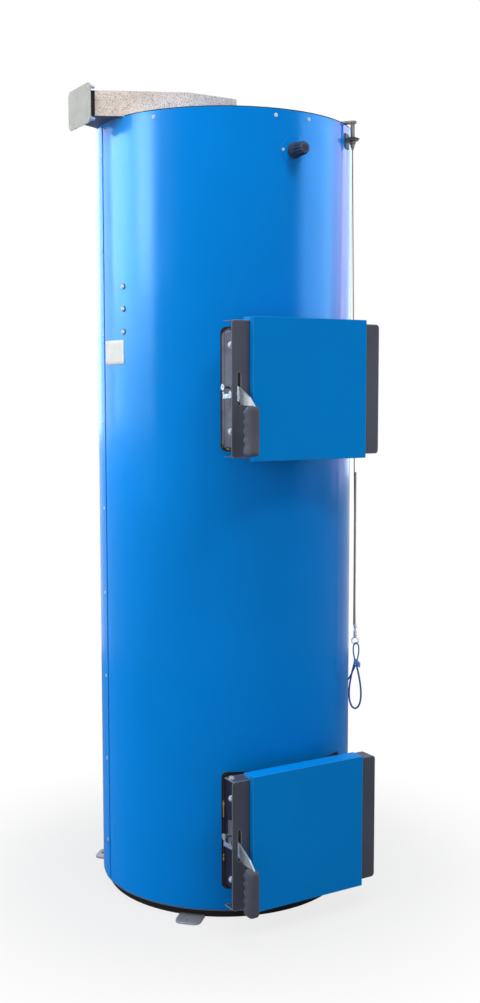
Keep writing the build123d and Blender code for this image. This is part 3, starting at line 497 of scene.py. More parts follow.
# %% Blue powder coat, glossy on the jacket and satin on the door covers
def powder_coat(name, main, deep, worn, rough, peel, gloss, round_off):
    """Two near shades mixed by slow noise, fine specks, pale worn edges, drifting
    roughness and orange peel as bump. gloss is the clear top layer's weight."""
    made, tree, skin = finish(name, Metallic=0.0, Specular_IOR_Level=0.04, Coat_Weight=gloss,
                              Coat_Roughness=0.12, Coat_IOR=1.30)
    at = where(tree)
    slow = noise(tree, at, 2.2, 2.0)
    fine = noise(tree, at, 1100.0, 2.0, 0.6)
    tone = blended(tree, spread(tree, slow, 0.35, 0.65), main, deep)
    tone = blended(tree, spread(tree, fine, 0.60, 0.80, 0.0, 0.35), tone, worn)
    chips = noise(tree, at, 160.0, 4.0, 0.7)
    rubbed = add(tree, "Math", {0: edges(tree, 0.0024, 0.03, 0.25),
                                1: spread(tree, chips, 0.35, 0.60, 0.25, 0.8)},
                 operation="MULTIPLY").outputs["Value"]
    drift = noise(tree, at, 7.0, 3.0)
    dress_skin(tree, skin, blended(tree, rubbed, tone, worn),
               spread(tree, drift, 0.3, 0.7, rough - 0.03, rough + 0.05),
               [(noise(tree, at, 420.0, 1.0), peel, 0.0005), (fine, 0.10, 0.0002)], round_off)
    return made


jacket_coat = powder_coat("jacket_blue", (0, 135, 228), (0, 130, 219), (70, 170, 240),
                          0.20, 0.06, 0.04, 0.0010)
cover_coat = powder_coat("cover_blue", (0, 138, 224), (0, 133, 216), (104, 194, 255),
                         0.42, 0.14, 0.0, 0.0022)
# A lighter copy of the covers' blue: painted light on the covers' end strips.
lit_strip_coat = powder_coat("lit_strip_blue", (40, 168, 255), (30, 158, 250), (120, 205, 255),
                         0.36, 0.14, 0.0, 0.0006)
print("powder coats ready")

# %% [markdown]
# ## Dark paint, rubber, plastic
# The casings are powder-coated charcoal, the base and the vessel have matt heat-proof
# paint, the duct's gasket is rubber, and the grips and the knob are moulded plastic with a
# fine spark-eroded grain. They are all dark, so their gloss and grain tell them apart, and
# one recipe with other numbers serves them all.

# %% Dark finishes
def dark_coat(name, main, faded, worn, rough, grain, depth, round_off=0.0015, scale=6.0,
              wear=0.0015, shine=0.35):
    """A dark coat: slow fading, dust specks, paler edges, drifting roughness and
    grain as bump. scale and grain are its two noises' scales, depth is the grain's, and wear
    is the pale edges' width. The pale edges are rubbed paint, and on the casings and the knob
    also a painted highlight."""
    made, tree, skin = finish(name, Specular_IOR_Level=shine)
    at = where(tree)
    slow = noise(tree, at, scale, 4.0, 0.6)
    fine = noise(tree, at, grain, 2.0, 0.6)
    tone = blended(tree, spread(tree, slow, 0.35, 0.7), main, faded)
    tone = blended(tree, spread(tree, fine, 0.62, 0.80, 0.0, 0.5), tone, worn)
    # Pale edges: rubbed paint, and on some finishes also a painted highlight.
    tone = blended(tree, edges(tree, wear, 0.03, 0.35), tone, worn) if wear else tone
    dress_skin(tree, skin, tone, spread(tree, slow, 0.3, 0.7, rough - 0.06, rough + 0.10),
               [(fine, 0.35, depth)], round_off)
    return made


# The casings' pale 4 mm edges are partly rubbed paint and partly a painted highlight along the
# sheet's edges.
casing_coat = dark_coat("casing_charcoal", (75, 79, 92), (67, 70, 82), (182, 180, 188),
                        0.42, 900.0, 0.0004, 0.0030, 6.0, 0.0042)
neck_paint = dark_coat("neck_paint", (122, 123, 137), (102, 102, 116), (140, 138, 145),
                       0.42, 420.0, 0.0005, 0.0030, 16.0)
# A lighter copy of the neck paint: painted light on the upper door's neck frame, which lies in the
# casing's shade.
lit_frame_paint = dark_coat("lit_frame_paint", (156, 154, 168), (132, 130, 144), (176, 174, 182),
                        0.42, 420.0, 0.0005, 0.0010, 16.0)
shaded_neck = dark_coat("shaded_neck", (44, 43, 66), (32, 31, 50), (112, 112, 122),
                        0.36, 420.0, 0.0005, 0.0030, 16.0)
fold_shadow = dark_coat("fold_shadow", (12, 50, 74), (8, 38, 58), (30, 72, 96),
                        0.55, 600.0, 0.0003, 0.0, 12.0, 0.0, 0.04)
base_paint = dark_coat("base_black", (24, 24, 27), (34, 33, 34), (78, 76, 74),
                       0.60, 500.0, 0.0006)
vessel_paint = dark_coat("vessel_paint", (52, 52, 58), (40, 40, 46), (96, 92, 88),
                         0.55, 420.0, 0.0006)
gasket_rubber = dark_coat("gasket_rubber", (32, 32, 35), (42, 42, 44), (70, 70, 72),
                          0.70, 600.0, 0.0008)
grip_plastic = dark_coat("grip_plastic", (84, 85, 98), (74, 75, 88), (146, 146, 158),
                         0.42, 1300.0, 0.0003, 0.0010, 14.0, 0.0030)
# The knob's pale edges are partly rubbed plastic and partly a painted highlight on its ridges.
knob_plastic = dark_coat("knob_plastic", (46, 54, 80), (32, 38, 58), (160, 156, 164),
                         0.26, 1300.0, 0.0003, 0.0008, 18.0, 0.0022)
print("dark finishes ready")

# %% [markdown]
# ## Wool, fire board, rope and the strap
# Behind the jacket is yellow mineral wool, a mat of loose fibres. The doors carry pressed
# fire board and a braided glass rope as a seal. The pull loop is a ribbed plastic strap.
# Each is a pattern of long thin lines, which comes from stretching noise or from waves.

# %% Soft and fibrous finishes
def fibrous(name, pale, deep, stretch, rough, depth, scale=90.0):
    """Fibres: noise stretched along the axes picks between two shades and raises the
    surface; finer noise breaks it up."""
    made, tree, skin = finish(name, Specular_IOR_Level=0.15, Sheen_Weight=0.25)
    at = where(tree, stretch)
    strands = noise(tree, at, scale, 6.0, 0.75)
    lumps = noise(tree, where(tree), scale * 0.3, 3.0, 0.6)
    tone = blended(tree, spread(tree, strands, 0.35, 0.65), deep, pale)
    tone = blended(tree, spread(tree, lumps, 0.35, 0.6, 0.0, 0.5), tone, deep)
    dress_skin(tree, skin, tone, spread(tree, lumps, 0.3, 0.7, rough - 0.08, rough),
               [(lumps, 0.5, depth * 3), (strands, 0.8, depth)])
    return made


def ribbed(name, pale, deep, rough, ribs, depth):
    """Two sets of waves cross, as braid or as a strap's ribs do; their product picks the
    shade and raises the surface."""
    made, tree, skin = finish(name, Specular_IOR_Level=0.35)
    at = where(tree)
    slanting, level = (
        add(tree, "TexWave", {"Vector": at, "Scale": ribs, "Distortion": 0.6},
            bands_direction=way).outputs["Fac"] for way in ("DIAGONAL", "Z"))
    height = add(tree, "Math", {0: slanting, 1: level}, operation="MULTIPLY").outputs["Value"]
    dress_skin(tree, skin, blended(tree, spread(tree, height, 0.1, 0.7), deep, pale),
               spread(tree, noise(tree, at, 60.0), 0.3, 0.7, rough - 0.05, rough + 0.08),
               [(height, 0.6, depth)])
    return made


LYING = (1.0, 1.0, 4.0)
mineral_wool = fibrous("mineral_wool", (216, 204, 150), (150, 134, 84), LYING, 0.95, 0.0012)
# The batts are given dark greys, not the wool's yellow: painted shade of wool that lies in the dark
# behind the jacket.
shaded_batt_wool = fibrous("shaded_batt_wool", (84, 80, 86), (46, 43, 50), LYING, 0.95, 0.0012)
inner_board = fibrous("inner_board", (46, 44, 42), (28, 27, 27), LYING, 0.95, 0.0008)
fire_board = fibrous("fire_board", (214, 206, 190), (176, 164, 146), (1.0, 1.0, 1.0), 0.90,
                     0.0006, 160.0)
seal_rope = ribbed("seal_rope", (222, 218, 208), (150, 144, 132), 0.85, 60.0, 0.0012)
strap_blue = ribbed("strap_blue", (46, 140, 226), (8, 80, 160), 0.36, 90.0, 0.0003)
print("soft finishes ready")

# %% [markdown]
# ## Dress every solid
# Each solid keeps its shape and gets its finish in its material slots. One table says which
# finish goes where, so a wrong one is found at once. The latch keepers get two: their plates
# are painted like the necks, and their pins are zinc.

# %% Finishes of the solids
DRESS = {
    jacket_coat: ["jacket_front", "jacket_back", "seam_strips", "roof_lid", "regulator_escutcheon"],
    cover_coat: ["upper_door_cover", "lower_door_cover"],
    casing_coat: ["upper_door_casing", "lower_door_casing"],
    base_paint: ["base_ring", "vessel_floor"],
    vessel_paint: ["firebox_shell", "firebox_roof", "water_shell", "vessel_crown", "flue_stub",
                   "water_sockets", "upper_door_leaf", "lower_door_leaf"],
    neck_paint: ["upper_door_neck"],
    shaded_neck: ["lower_door_neck"],
    zinc: ["hinge_pins", "latch_keepers", "upper_handle_lever", "lower_handle_lever",
           "pull_cable"],
    arm_steel: ["cable_arm"],
    washer_steel: ["cable_bracket"],
    plate_zinc: ["duct_cover_plate"],
    bare_plate: ["anchor_lugs"],
    galvanised: ["air_duct"],
    gasket_rubber: ["duct_gasket_frame"],
    grip_plastic: ["upper_handle_grip", "lower_handle_grip"],
    knob_plastic: ["regulator_body", "regulator_knob"],
    shaded_batt_wool: ["insulation_batts"],
    inner_board: ["upper_door_board", "lower_door_board"],
    fire_board: ["upper_door_block", "lower_door_block"],
    seal_rope: ["upper_door_seal", "lower_door_seal"],
    strap_blue: ["pull_loop"],
}
for coat, names in DRESS.items():
    for name in names:
        nodes[name].data.materials.clear()
        nodes[name].data.materials.append(coat)
PLATE_FACE = -0.1745
keepers = nodes["latch_keepers"].data
keepers.materials.append(neck_paint)
middles = np.empty(len(keepers.polygons) * 3)
keepers.polygons.foreach_get("center", middles)
keepers.polygons.foreach_set("material_index", (middles[::3] > PLATE_FACE).astype(int))
left_bare = set(nodes) - {name for names in DRESS.values() for name in names}
print("solids without a finish:", sorted(left_bare))

# %% [markdown]
# ## Screws of the jacket
# The lid and the two upright seams are held by small pan-head screws, and three larger
# dome screws sit in a row on the left. A head is a profile turned about its axis: a thin
# washer, a rounded top and a shallow recess. Such a profile has few points, so that some
# forty screws cost little. The seams' screws sit about 8 degrees behind the boiler's
# widest line, where they don't stand out beyond its box.

# %% Pan-head and dome screws
def pan_head(radius, tall, steps=16):
    """A screw head on a thin washer: the profile climbs from the washer's rim, up the
    head's side and over a quarter ellipse to a shallow recess in its middle."""
    bend = np.linspace(0.15, np.pi / 2, 4)
    dome = np.stack([radius * 0.55 + radius * 0.45 * np.cos(bend),
                     tall * 0.45 + tall * 0.55 * np.sin(bend)], 1)
    return turned([(0, -0.0006), (radius * 1.25, -0.0006), (radius * 1.25, tall * 0.16),
                   (radius * 1.02, tall * 0.22), *dome, (radius * 0.30, tall * 0.97),
                   (radius * 0.18, tall * 0.62), (0, tall * 0.60)], steps)


def on_round(shape, places):
    """Copies of a shape that look straight out from the boiler's axis."""
    return repeated(shape, places, places * [1, 1, 0])


SEAM_SIDE, STRIP_FACE = 97.9, 0.3415
KNOB_HEIGHT = 1.911
rim_side = [-93.0, -60.0, -8.5, 7.5, 60.0, 130.0, 180.0, -130.0]
rim_places = around(rim_side, JACKET_RADIUS, JACKET_TOP - 0.0145)
seam_heights = [1.922, 1.692, 1.474, 1.250, 1.026, 0.802, 0.578, 0.354, 0.130]
small_head = pan_head(0.0040, 0.0014)
screws = joined(on_round(pan_head(0.0038, 0.0020), rim_places),
                *[on_round(small_head, around(side, STRIP_FACE, seam_heights))
                  for side in (-SEAM_SIDE, SEAM_SIDE)])
piece("jacket_screws", screws, zinc, "boiler")
dome_places = around(-78.0, JACKET_RADIUS, [1.591, 1.536, 1.479])
piece("sensor_plugs", on_round(pan_head(0.0057, 0.0052, 24), dome_places), bright_zinc, "boiler")
# A dark ring round the foot of each dome screw is painted shade.
piece("sensor_plug_shade_rings", on_round(collar(0.0076, -0.0004, 0.0016, 0.0005, 24), dome_places),
      fold_shadow, "boiler")
piece("escutcheon_screw", on_round(pan_head(0.0030, 0.0018), around([-5.2], 0.3414, KNOB_HEIGHT)),
      zinc, "boiler")

# %% [markdown]
# ## Rims of the jacket and a bare plate
# The jacket's sheet is folded at the top, which shows as a thin dark line, and stands on a
# narrow grey rim. On its left is a small bare plate that follows the curve. The plate is a
# grid over an angle and a height, thickened with a Solidify modifier.

# %% Rims and the plate
def hoop(radius, low, high, thick=0.0012, steps=144):
    """A flat band that runs round the boiler: a section of four points, between two radii
    and two heights, carried round a circle."""
    angle = full_turn(steps)[:, None]
    reach = np.array([radius - thick, radius, radius, radius - thick])
    height = np.broadcast_to([low, low, high, high], (steps, 4))
    rings = np.stack([reach * np.cos(angle), reach * np.sin(angle), height], -1)
    return carried(rings[:, ::-1], closed_path=True)


piece("jacket_top_fold", hoop(0.3397, JACKET_TOP, JACKET_TOP + 0.0024), fold_shadow, "boiler")
piece("jacket_foot_rim", hoop(0.3390, JACKET_BOTTOM - 0.0035, JACKET_BOTTOM), casing_coat,
      "boiler")


def curved_plate(side_from, side_to, low, high, reach, columns=24, rows=8):
    """A rectangle bent round the boiler: azimuth and height run over a grid, and every
    point lies at the same reach from the axis."""
    side, height = np.meshgrid(np.linspace(side_from, side_to, columns),
                               np.linspace(low, high, rows))
    return carried(around(side, reach, height), closed_section=False)


label_coat, label_tree, label_skin = finish("plate_white", Specular_IOR_Level=0.4)
label_at = where(label_tree)
label_cloud = noise(label_tree, label_at, 40.0, 3.0)
dress_skin(label_tree, label_skin,
           blended(label_tree, spread(label_tree, label_cloud, 0.3, 0.7),
                   (254, 255, 255), (240, 246, 246)),
           spread(label_tree, label_cloud, 0.3, 0.7, 0.3, 0.45),
           [(noise(label_tree, label_at, 500.0), 0.2, 0.0002)], 0.0008)
plate = piece("bare_rating_plate", curved_plate(-94.0, -78.0, 1.398, 1.459, 0.3403), label_coat,
              "boiler")
wall = plate.modifiers.new("thickness", "SOLIDIFY")
wall.thickness, wall.offset = 0.0008, 1.0

# %% [markdown]
# ## The anchor lugs
# The photograph shows one lug as a broad plate with well rounded corners, a bevelled edge and
# a bolt hole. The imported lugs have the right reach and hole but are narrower. A plate with a
# hole is a band: the same rays from the hole's centre give its inner and its outer edge.

# %% Anchor lugs
LUG_HOLE_AT = 0.365


def lug_outline(rays, half=0.033, tip=0.381, corner=0.018, ring_radius=0.3256):
    """Distances from the hole's centre to the plate's edge along rays: the base ring's
    circle on one side, straight sides, and an end with quarter-circle corners."""
    v = np.linspace(half, -half, 25)
    bend = np.linspace(-np.pi / 2, 0, 10)
    near = np.stack([tip - corner + corner * np.cos(bend),
                     corner - half + corner * np.sin(bend)], 1)
    edge = np.concatenate([np.stack([np.sqrt(ring_radius ** 2 - v ** 2), v], 1), near,
                           near[::-1] * [1, -1]])
    edge = subdivided(edge, 8) - [LUG_HOLE_AT, 0]
    angle = np.arctan2(edge[:, 1], edge[:, 0])
    order = np.argsort(angle)
    return np.interp(rays, angle[order], np.hypot(edge[:, 0], edge[:, 1])[order],
                     period=2 * np.pi)


def lug(azimuth, thick=0.005, bevel=0.0007, hole=0.006, steps=96):
    """Five rows round the hole: its foot, the edge's foot, side and bevel, and its head."""
    rays = full_turn(steps)
    edge, bore = lug_outline(rays), np.full(steps, hole)
    rows = [(bore, 0.0), (edge, 0.0), (edge, thick - bevel), (edge - bevel, thick), (bore, thick)]
    out = np.stack([LUG_HOLE_AT + far * np.cos(rays) for far, _ in rows], 1)
    side = np.stack([far * np.sin(rays) for far, _ in rows], 1)
    ahead, across = around([azimuth, azimuth + 90], 1.0, 0.0)
    points = out[..., None] * ahead + side[..., None] * across
    points[..., 2] = [level for _, level in rows]
    return carried(points[:, ::-1], closed_path=True)


lugs = piece("anchor_lug_plates", joined(*[lug(side) for side in (-135.0, -45.0, 45.0, 135.0)]),
             bare_plate, "boiler")
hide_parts("anchor_lugs")

# %% [markdown]
# ## Bolts at the door necks and the duct
# Two hexagon bolts stand in each side of a door neck, four hold the duct's plate, and one
# nut sits on the lower casing. A bolt is a washer, a six-sided head and a rounded cap. The
# head is the same turned profile as a round one, in only six steps, which gives its flats.

# %% Hexagon bolts
def bolt(radius, tall):
    """A washer, a six-sided head and a low dome on it, all about the Z axis."""
    return joined(collar(radius * 1.25, -0.0005, tall * 0.22, 0.0003, 24),
                  hexagon(radius, tall * 0.22, tall * 0.85),
                  turned([(0, tall * 0.8), (radius * 0.72, tall * 0.8), (radius * 0.6, tall * 0.93),
                          (radius * 0.3, tall), (0, tall)], 18))


neck_bolt = bolt(0.0068, 0.0065)
NECK_SIDE, NECK_BOLT_Y, NECK_BOLT_SPREAD = 0.170, -0.324, 0.104
for (door, centre), shift in zip(DOORS.items(), (0.002, -0.013)):
    sides = []
    for side in (-1.0, 1.0):
        places = np.array([(side * NECK_SIDE, NECK_BOLT_Y, centre + shift + rise)
                           for rise in (-NECK_BOLT_SPREAD, NECK_BOLT_SPREAD)])
        sides.append(repeated(neck_bolt, places, [side, 0, 0]))
    piece(f"{door}_neck_bolts", joined(*sides), bright_zinc, "boiler")

PLATE_OUTSIDE, HOLE_Y, HOLE_Z = -0.409, 0.009, 2.0355
plate_places = [(PLATE_OUTSIDE, HOLE_Y + across, HOLE_Z + up)
                for up in (-0.038, 0.038) for across in (-0.057, 0.057)]
duct_bolts = joined(*[repeated(shape, plate_places, [1.0, 0, 0]) for shape in (
    bolt(0.0065, 0.0060), collar(0.0040, 0.0, 0.0140, 0.0006, 16),
    collar(0.0042, -0.0030, 0.0, 0.0004, 20))])
piece("duct_plate_bolts", duct_bolts, zinc, "boiler")
UPWARDS = [0, 0, 1.0]
nut_place = [[-0.199, -0.374, DOORS["lower"] + 0.161]]
piece("lower_casing_nut", repeated(bolt(0.0065, 0.0070), nut_place, UPWARDS), zinc,
      "lower_door")

# %% [markdown]
# ## What shows from above
# The duct stands on the lid with a narrow folded foot that is riveted down, and the lid is
# screwed near its edge. The foot is a band between the duct's outline and the same outline
# moved outwards, with rivets along its middle.

# %% The duct's foot and the lid's screws
FOOT = np.array([(-0.311, -0.089), (-0.185, -0.148), (-0.049, -0.148), (-0.049, 0.148),
                 (-0.185, 0.148), (-0.311, 0.089)])


def moved_out(outline, distance):
    """Each corner moved along the two sides' mean normal, by the distance over the cosine
    of half the turn, so that every side moves by that distance."""
    run = np.diff(outline, axis=0)
    run /= np.linalg.norm(run, axis=1, keepdims=True)
    normal = np.stack([run[:, 1], -run[:, 0]], 1)
    first, second = np.vstack([normal[:1], normal]), np.vstack([normal, normal[-1:]])
    middle = first + second
    return outline + 2 * distance * middle / (middle ** 2).sum(1, keepdims=True)


FOOT_TOP = 2.0062
inner, outer = moved_out(FOOT, -0.0002), moved_out(FOOT, 0.013)
band = np.stack([np.column_stack([line, np.full(len(FOOT), level)]) for line, level in (
    (inner, JACKET_TOP), (outer, JACKET_TOP), (outer, FOOT_TOP), (inner, FOOT_TOP))], 1)
piece("duct_foot", carried(band), galvanised, "boiler", smooth=False)
middle_line = moved_out(FOOT, 0.0065)
share = np.array([0.15, 0.5, 0.85])[:, None]
starts, ends = middle_line[:-1, None], middle_line[1:, None]
rivets = (starts + (ends - starts) * share).reshape(-1, 2)
rivet_places = np.column_stack([rivets, np.full(len(rivets), FOOT_TOP)])
lid_places = around([-150.0, -30.0, 0.0, 30.0, 70.0, 110.0, 150.0, 180.0], 0.326, JACKET_TOP)
piece("lid_fasteners", joined(repeated(pan_head(0.0026, 0.0014, 12), rivet_places, UPWARDS),
                              repeated(pan_head(0.0038, 0.0020), lid_places, UPWARDS)),
      zinc, "boiler")

# %% [markdown]
# ## The cable arm's washers
# At the arm's end a wide and a smaller dark washer sit on the nut. Two flat cylinders would
# show hard rims, so both are turned with the sleeve's rounded profile.

# %% Washers
ARM_END = around(CABLE_SIDE, 0.356, 0.0)
washers = joined(collar(0.0180, 1.9700, 1.9716, 0.0006), collar(0.0100, 1.9716, 1.9750, 0.0006))
piece("arm_washers", (washers[0] + ARM_END, washers[1]), washer_steel, "boiler")

# %% [markdown]
# ## A rounded grip on each lever
# The grip is moulded plastic with an oval section, finger waves on the side that faces the
# door, and rounded ends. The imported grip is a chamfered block, so a lofted skin takes its
# place: ovals stacked along its length, narrower towards both ends.

# %% The grips
def moulded_grip(low, high, x_range, y_range, rows=72, count=40):
    """Stacked ovals. At height t from 0 to 1 the oval's half sizes are the full ones times
    (1 - |2t - 1|^16)^(1/2.4), which rounds the ends; the back half is pulled in by waves."""
    t = (1 - np.cos(np.linspace(0.0, np.pi, rows))) / 2
    t = np.clip(t, 0.0006, 0.9994)
    end = (1 - np.abs(2 * t - 1) ** 16) ** (1 / 2.4)
    half_x, half_y = (x_range[1] - x_range[0]) / 2, (y_range[1] - y_range[0]) / 2
    finger_waves, wave_depth = 4.5, 0.21
    along = np.clip((t - 0.14) / 0.80, 0, 1)
    waves = wave_depth * (1 - np.cos(2 * np.pi * finger_waves * along)) / 2
    a = full_turn(count)
    oval, deep = squarish(a, 0.55)
    back = np.clip(np.sin(a) + 0.35, 0, 1)
    pull = end[:, None] * (1 - waves[:, None] * back)
    x = np.mean(x_range) + half_x * pull * oval
    y = np.mean(y_range) + half_y * pull * deep
    z = np.broadcast_to((low + (high - low) * t)[:, None], x.shape)
    return carried(np.stack([x, y, z], -1))


GRIP_X, GRIP_Y = (-0.2085, -0.1790), (-0.4790, -0.4385)
for door, centre in DOORS.items():
    grip = piece(f"{door}_moulded_grip",
                 moulded_grip(centre - 0.156, centre - 0.038, GRIP_X, GRIP_Y),
                 grip_plastic, f"{door}_handle")
    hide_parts(f"{door}_handle_grip")

# %% [markdown]
# ## The regulator's fluted knob
# The draught regulator has a moulded knob with flutes for the fingers and a raised cap. The
# flutes could be cut out one by one, but then they would end sharply. Here the radius of a
# turned profile waves with the angle, and the waves run out towards both ends.

# %% The knob
def fluted_knob(profile, flutes, depth, steps=96):
    """A turned profile whose radius is lowered by depth times (1 - cos(flutes a)) / 2 on
    its side, and less near its ends, so that the flutes run out."""
    points, faces = turned(profile, steps)
    reach = np.hypot(points[:, 0], points[:, 1])
    angle = np.arctan2(points[:, 1], points[:, 0])
    cap_edge, collar_top, run_out = 0.0110, 0.006, 0.004
    side = np.clip((reach - cap_edge) / 0.0030, 0, 1)
    ends = np.clip((points[:, 2] - collar_top) / run_out, 0, 1)
    cut = depth * (1 - np.cos(flutes * angle)) / 2 * side * ends
    scale = np.where(reach > 0, (reach - cut) / np.maximum(reach, 1e-9), 1.0)
    return points * np.stack([scale, scale, np.ones_like(scale)], 1), faces


knob_profile = [(0, 0.0), (0.0168, 0.0), (0.0180, 0.0012), (0.0180, 0.0060), (0.0174, 0.0075),
                (0.0172, 0.0120), (0.0166, 0.0200), (0.0160, 0.0280), (0.0152, 0.0330),
                (0.0140, 0.0358), (0.0110, 0.0370), (0.0105, 0.0366), (0.0100, 0.0374),
                (0.0060, 0.0380), (0, 0.0380)]
FLUTES, FLUTE_DEPTH = 12, 0.0020
knob_shape = repeated(fluted_knob(knob_profile, FLUTES, FLUTE_DEPTH),
                      [[0.0, -0.3504, KNOB_HEIGHT]], [0, -1.0, 0])
knob = piece("fluted_knob", knob_shape, knob_plastic, "knob")
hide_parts("regulator_knob")

# %% [markdown]
# ## The pull loop
# The blue loop is a coated strap that passes through the ring, is gathered by a collar and
# opens into a drop-shaped handle. A drop is a curve with one pointed end, so each of the
# two eyes is that curve, with a flattened circle carried round it.

# %% The loop
def drop_loop(top, bottom, wide, reach, thick, broad, steps=120, count=12):
    """The path: sideways wide sin(t) sin(t/2)^1.3, upwards the mean height plus half the
    length times cos(t), in the upright plane through the axis. The section is an ellipse,
    thick in that plane and broad across it."""
    t = (np.arange(steps) + 0.5) * 2 * np.pi / steps
    side = wide * np.sin(t) * np.abs(np.sin(t / 2)) ** 1.3
    height = (top + bottom) / 2 + (top - bottom) / 2 * np.cos(t)
    run = np.stack([np.gradient(side), np.gradient(height)], 1)
    run /= np.linalg.norm(run, axis=1, keepdims=True)
    a = full_turn(count)
    off = thick / 2 * np.cos(a)
    place = around(CABLE_SIDE, reach + side[:, None] + off * run[:, 1:],
                   height[:, None] - off * run[:, :1])
    lift = broad / 2 * np.sin(a)
    return carried(place + lift[None, :, None] * CABLE_ACROSS, closed_path=True)


def flat_collar(middle, height, half, lean):
    """A small block with rounded sides round both straps: an ellipse-like section at two
    ends and two middles, leaning by that slope."""
    along = np.array([-1.0, -0.86, 0.86, 1.0])[:, None]
    size = np.array([0.80, 1.0, 1.0, 0.80])[:, None]
    wide, deep = squarish(full_turn(20), 0.5)
    out = middle + half[0] * size * wide
    place = around(CABLE_SIDE, out, height + half[1] * along + lean * (out - middle))
    return carried(place + (half[2] * size * deep)[..., None] * CABLE_ACROSS)


def strap_tail(steps=14, count=10):
    """The strap's loose end: an ellipse carried down and, a little faster each step,
    inwards."""
    t, a = np.linspace(0, 1, steps)[:, None], full_turn(count)
    place = around(CABLE_SIDE, 0.3740 - 0.0200 * t ** 1.2 + 0.0022 * np.cos(a), 0.6080 - 0.0420 * t)
    rings = place + (0.0028 * np.sin(a))[None, :, None] * CABLE_ACROSS
    return carried(rings[:, ::-1])


loop = piece("pull_loop_strap", joined(
    drop_loop(0.6240, 0.4915, 0.0225, 0.3740, 0.0048, 0.0062),
    drop_loop(0.6100, 0.6684, 0.0105, 0.3760, 0.0034, 0.0055), strap_tail()), strap_blue,
    "boiler")
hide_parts("pull_loop")
collar_coat = dark_coat("collar_coat", (96, 158, 222), (70, 132, 204), (150, 190, 232),
                        0.35, 900.0, 0.0003, 0.0010, 40.0)
piece("pull_loop_collar", flat_collar(0.379, 0.6150, (0.0085, 0.0065, 0.0052), -0.75),
      collar_coat, "boiler")

# %% [markdown]
# ## Gap shade, frames and wool at the door cut-outs
# A thin dark band lines each cut-out of the jacket as painted shade of the gap, and at a
# corner or a side of the gap some yellow wool bulges out. Elsewhere a painted frame fills the
# gap round the neck: the upper door's is painted lighter than the neck, as painted light, and
# the lower door's has the neck's shaded paint. Both are bands between two rounded rectangles
# laid on the jacket's curve. The wool is a lumpy rope carried along a part of the gap.

# %% Gap shade, frames and wool
def rounded_outline(half_x, half_z, corner, steps=9):
    """A rounded rectangle: a quarter circle of that many points round each corner's
    centre, in order, so that two outlines match point by point."""
    a = np.concatenate([np.linspace(q, q + np.pi / 2, steps) for q in np.arange(4) * np.pi / 2])
    turn = np.repeat(np.arange(4) * np.pi / 2 + np.pi / 4, steps)
    return np.stack([np.sign(np.cos(turn)) * (half_x - corner) + corner * np.cos(a),
                     np.sign(np.sin(turn)) * (half_z - corner) + corner * np.sin(a)], 1)


def on_jacket(flat, centre, reach):
    """Points (x, z) laid on the round jacket at a reach: y = -sqrt(reach^2 - x^2)."""
    return np.stack([flat[:, 0], -np.sqrt(reach ** 2 - flat[:, 0] ** 2), centre + flat[:, 1]], 1)


def gap_band(inner, outer, centre, low, high):
    """Four rows round a cut-out, between two outlines and two reaches."""
    rows = [on_jacket(line, centre, reach) for line, reach in (
        (inner, low), (inner, high), (outer, high), (outer, low))]
    return carried(np.stack(rows, 1), closed_path=True)


def wool_rope(centre, start, end, seed, steps=90, count=12):
    """Between two places (x, z) of the gap a circle is carried whose radius wanders with
    smooth waves and shrinks towards both ends."""
    share = np.linspace(0.0, 1.0, steps)
    flat = np.asarray(start) + (np.asarray(end) - start) * share[:, None]
    path = on_jacket(flat, centre, 0.3392)
    chance = np.random.default_rng(seed)
    thickest, wave_rate = 0.0036, 6.3
    waves = np.arange(1, 9)[:, None]
    lump = (chance.uniform(0.3, 1.0, waves.shape) / np.sqrt(waves)
            * np.cos(wave_rate * waves * share + chance.uniform(0, 2 * np.pi, waves.shape))).sum(0)
    lump = (0.60 + 0.40 * lump / np.abs(lump).max()) * np.sin(np.pi * (0.02 + 0.96 * share)) ** 0.5
    section = full_turn(count)
    run = np.gradient(flat, axis=0)
    run /= np.linalg.norm(run, axis=1, keepdims=True)
    outward = np.column_stack([run[:, 1], np.zeros(steps), -run[:, 0]])
    radius = thickest * lump[:, None] * (1 + 0.22 * np.cos(3 * section + 40 * share[:, None]))
    return carried(path[:, None] + radius[..., None] * (
        np.cos(section)[None, :, None] * outward[:, None]
        + np.sin(section)[None, :, None] * np.array([0.0, 1.0, 0.0])))


NECK_LINE = rounded_outline(0.1704, 0.1424, 0.0064)
CUT_OUT = rounded_outline(0.1772, 0.1492, 0.0242)
EDGE_LINE = rounded_outline(0.1789, 0.1509, 0.0135)
GAP_X, GAP_Z = 0.1736, 0.1456
WOOL = {"upper": [((-0.1700, -GAP_Z), (-0.1420, -GAP_Z)), ((-GAP_X, -0.1440), (-GAP_X, -0.1240))],
        "lower": [((-GAP_X, 0.0790), (-GAP_X, 0.0330)), ((-GAP_X, -0.0600), (-GAP_X, -0.0800))]}
WOOL_SEED = 7
# The upper frame's lighter paint is painted light, and the lower frame's shaded neck paint is
# painted shade.
for (door, centre), frame_coat in zip(DOORS.items(), (lit_frame_paint, shaded_neck)):
    # A thin dark band along each cut-out's edge is painted shade of the gap.
    gap_shade_band = gap_band(subdivided(CUT_OUT, 6), subdivided(EDGE_LINE, 6), centre, 0.3388, 0.3411)
    piece(f"{door}_way_gap_shade", gap_shade_band, gasket_rubber, "boiler")
    piece(f"{door}_neck_frame", gap_band(NECK_LINE, CUT_OUT, centre, 0.3376, 0.3394), frame_coat,
          "boiler")
    ropes = [wool_rope(centre, *ends, WOOL_SEED + number)
             for number, ends in enumerate(WOOL[door])]
    piece(f"{door}_way_wool", joined(*ropes), mineral_wool, "boiler")

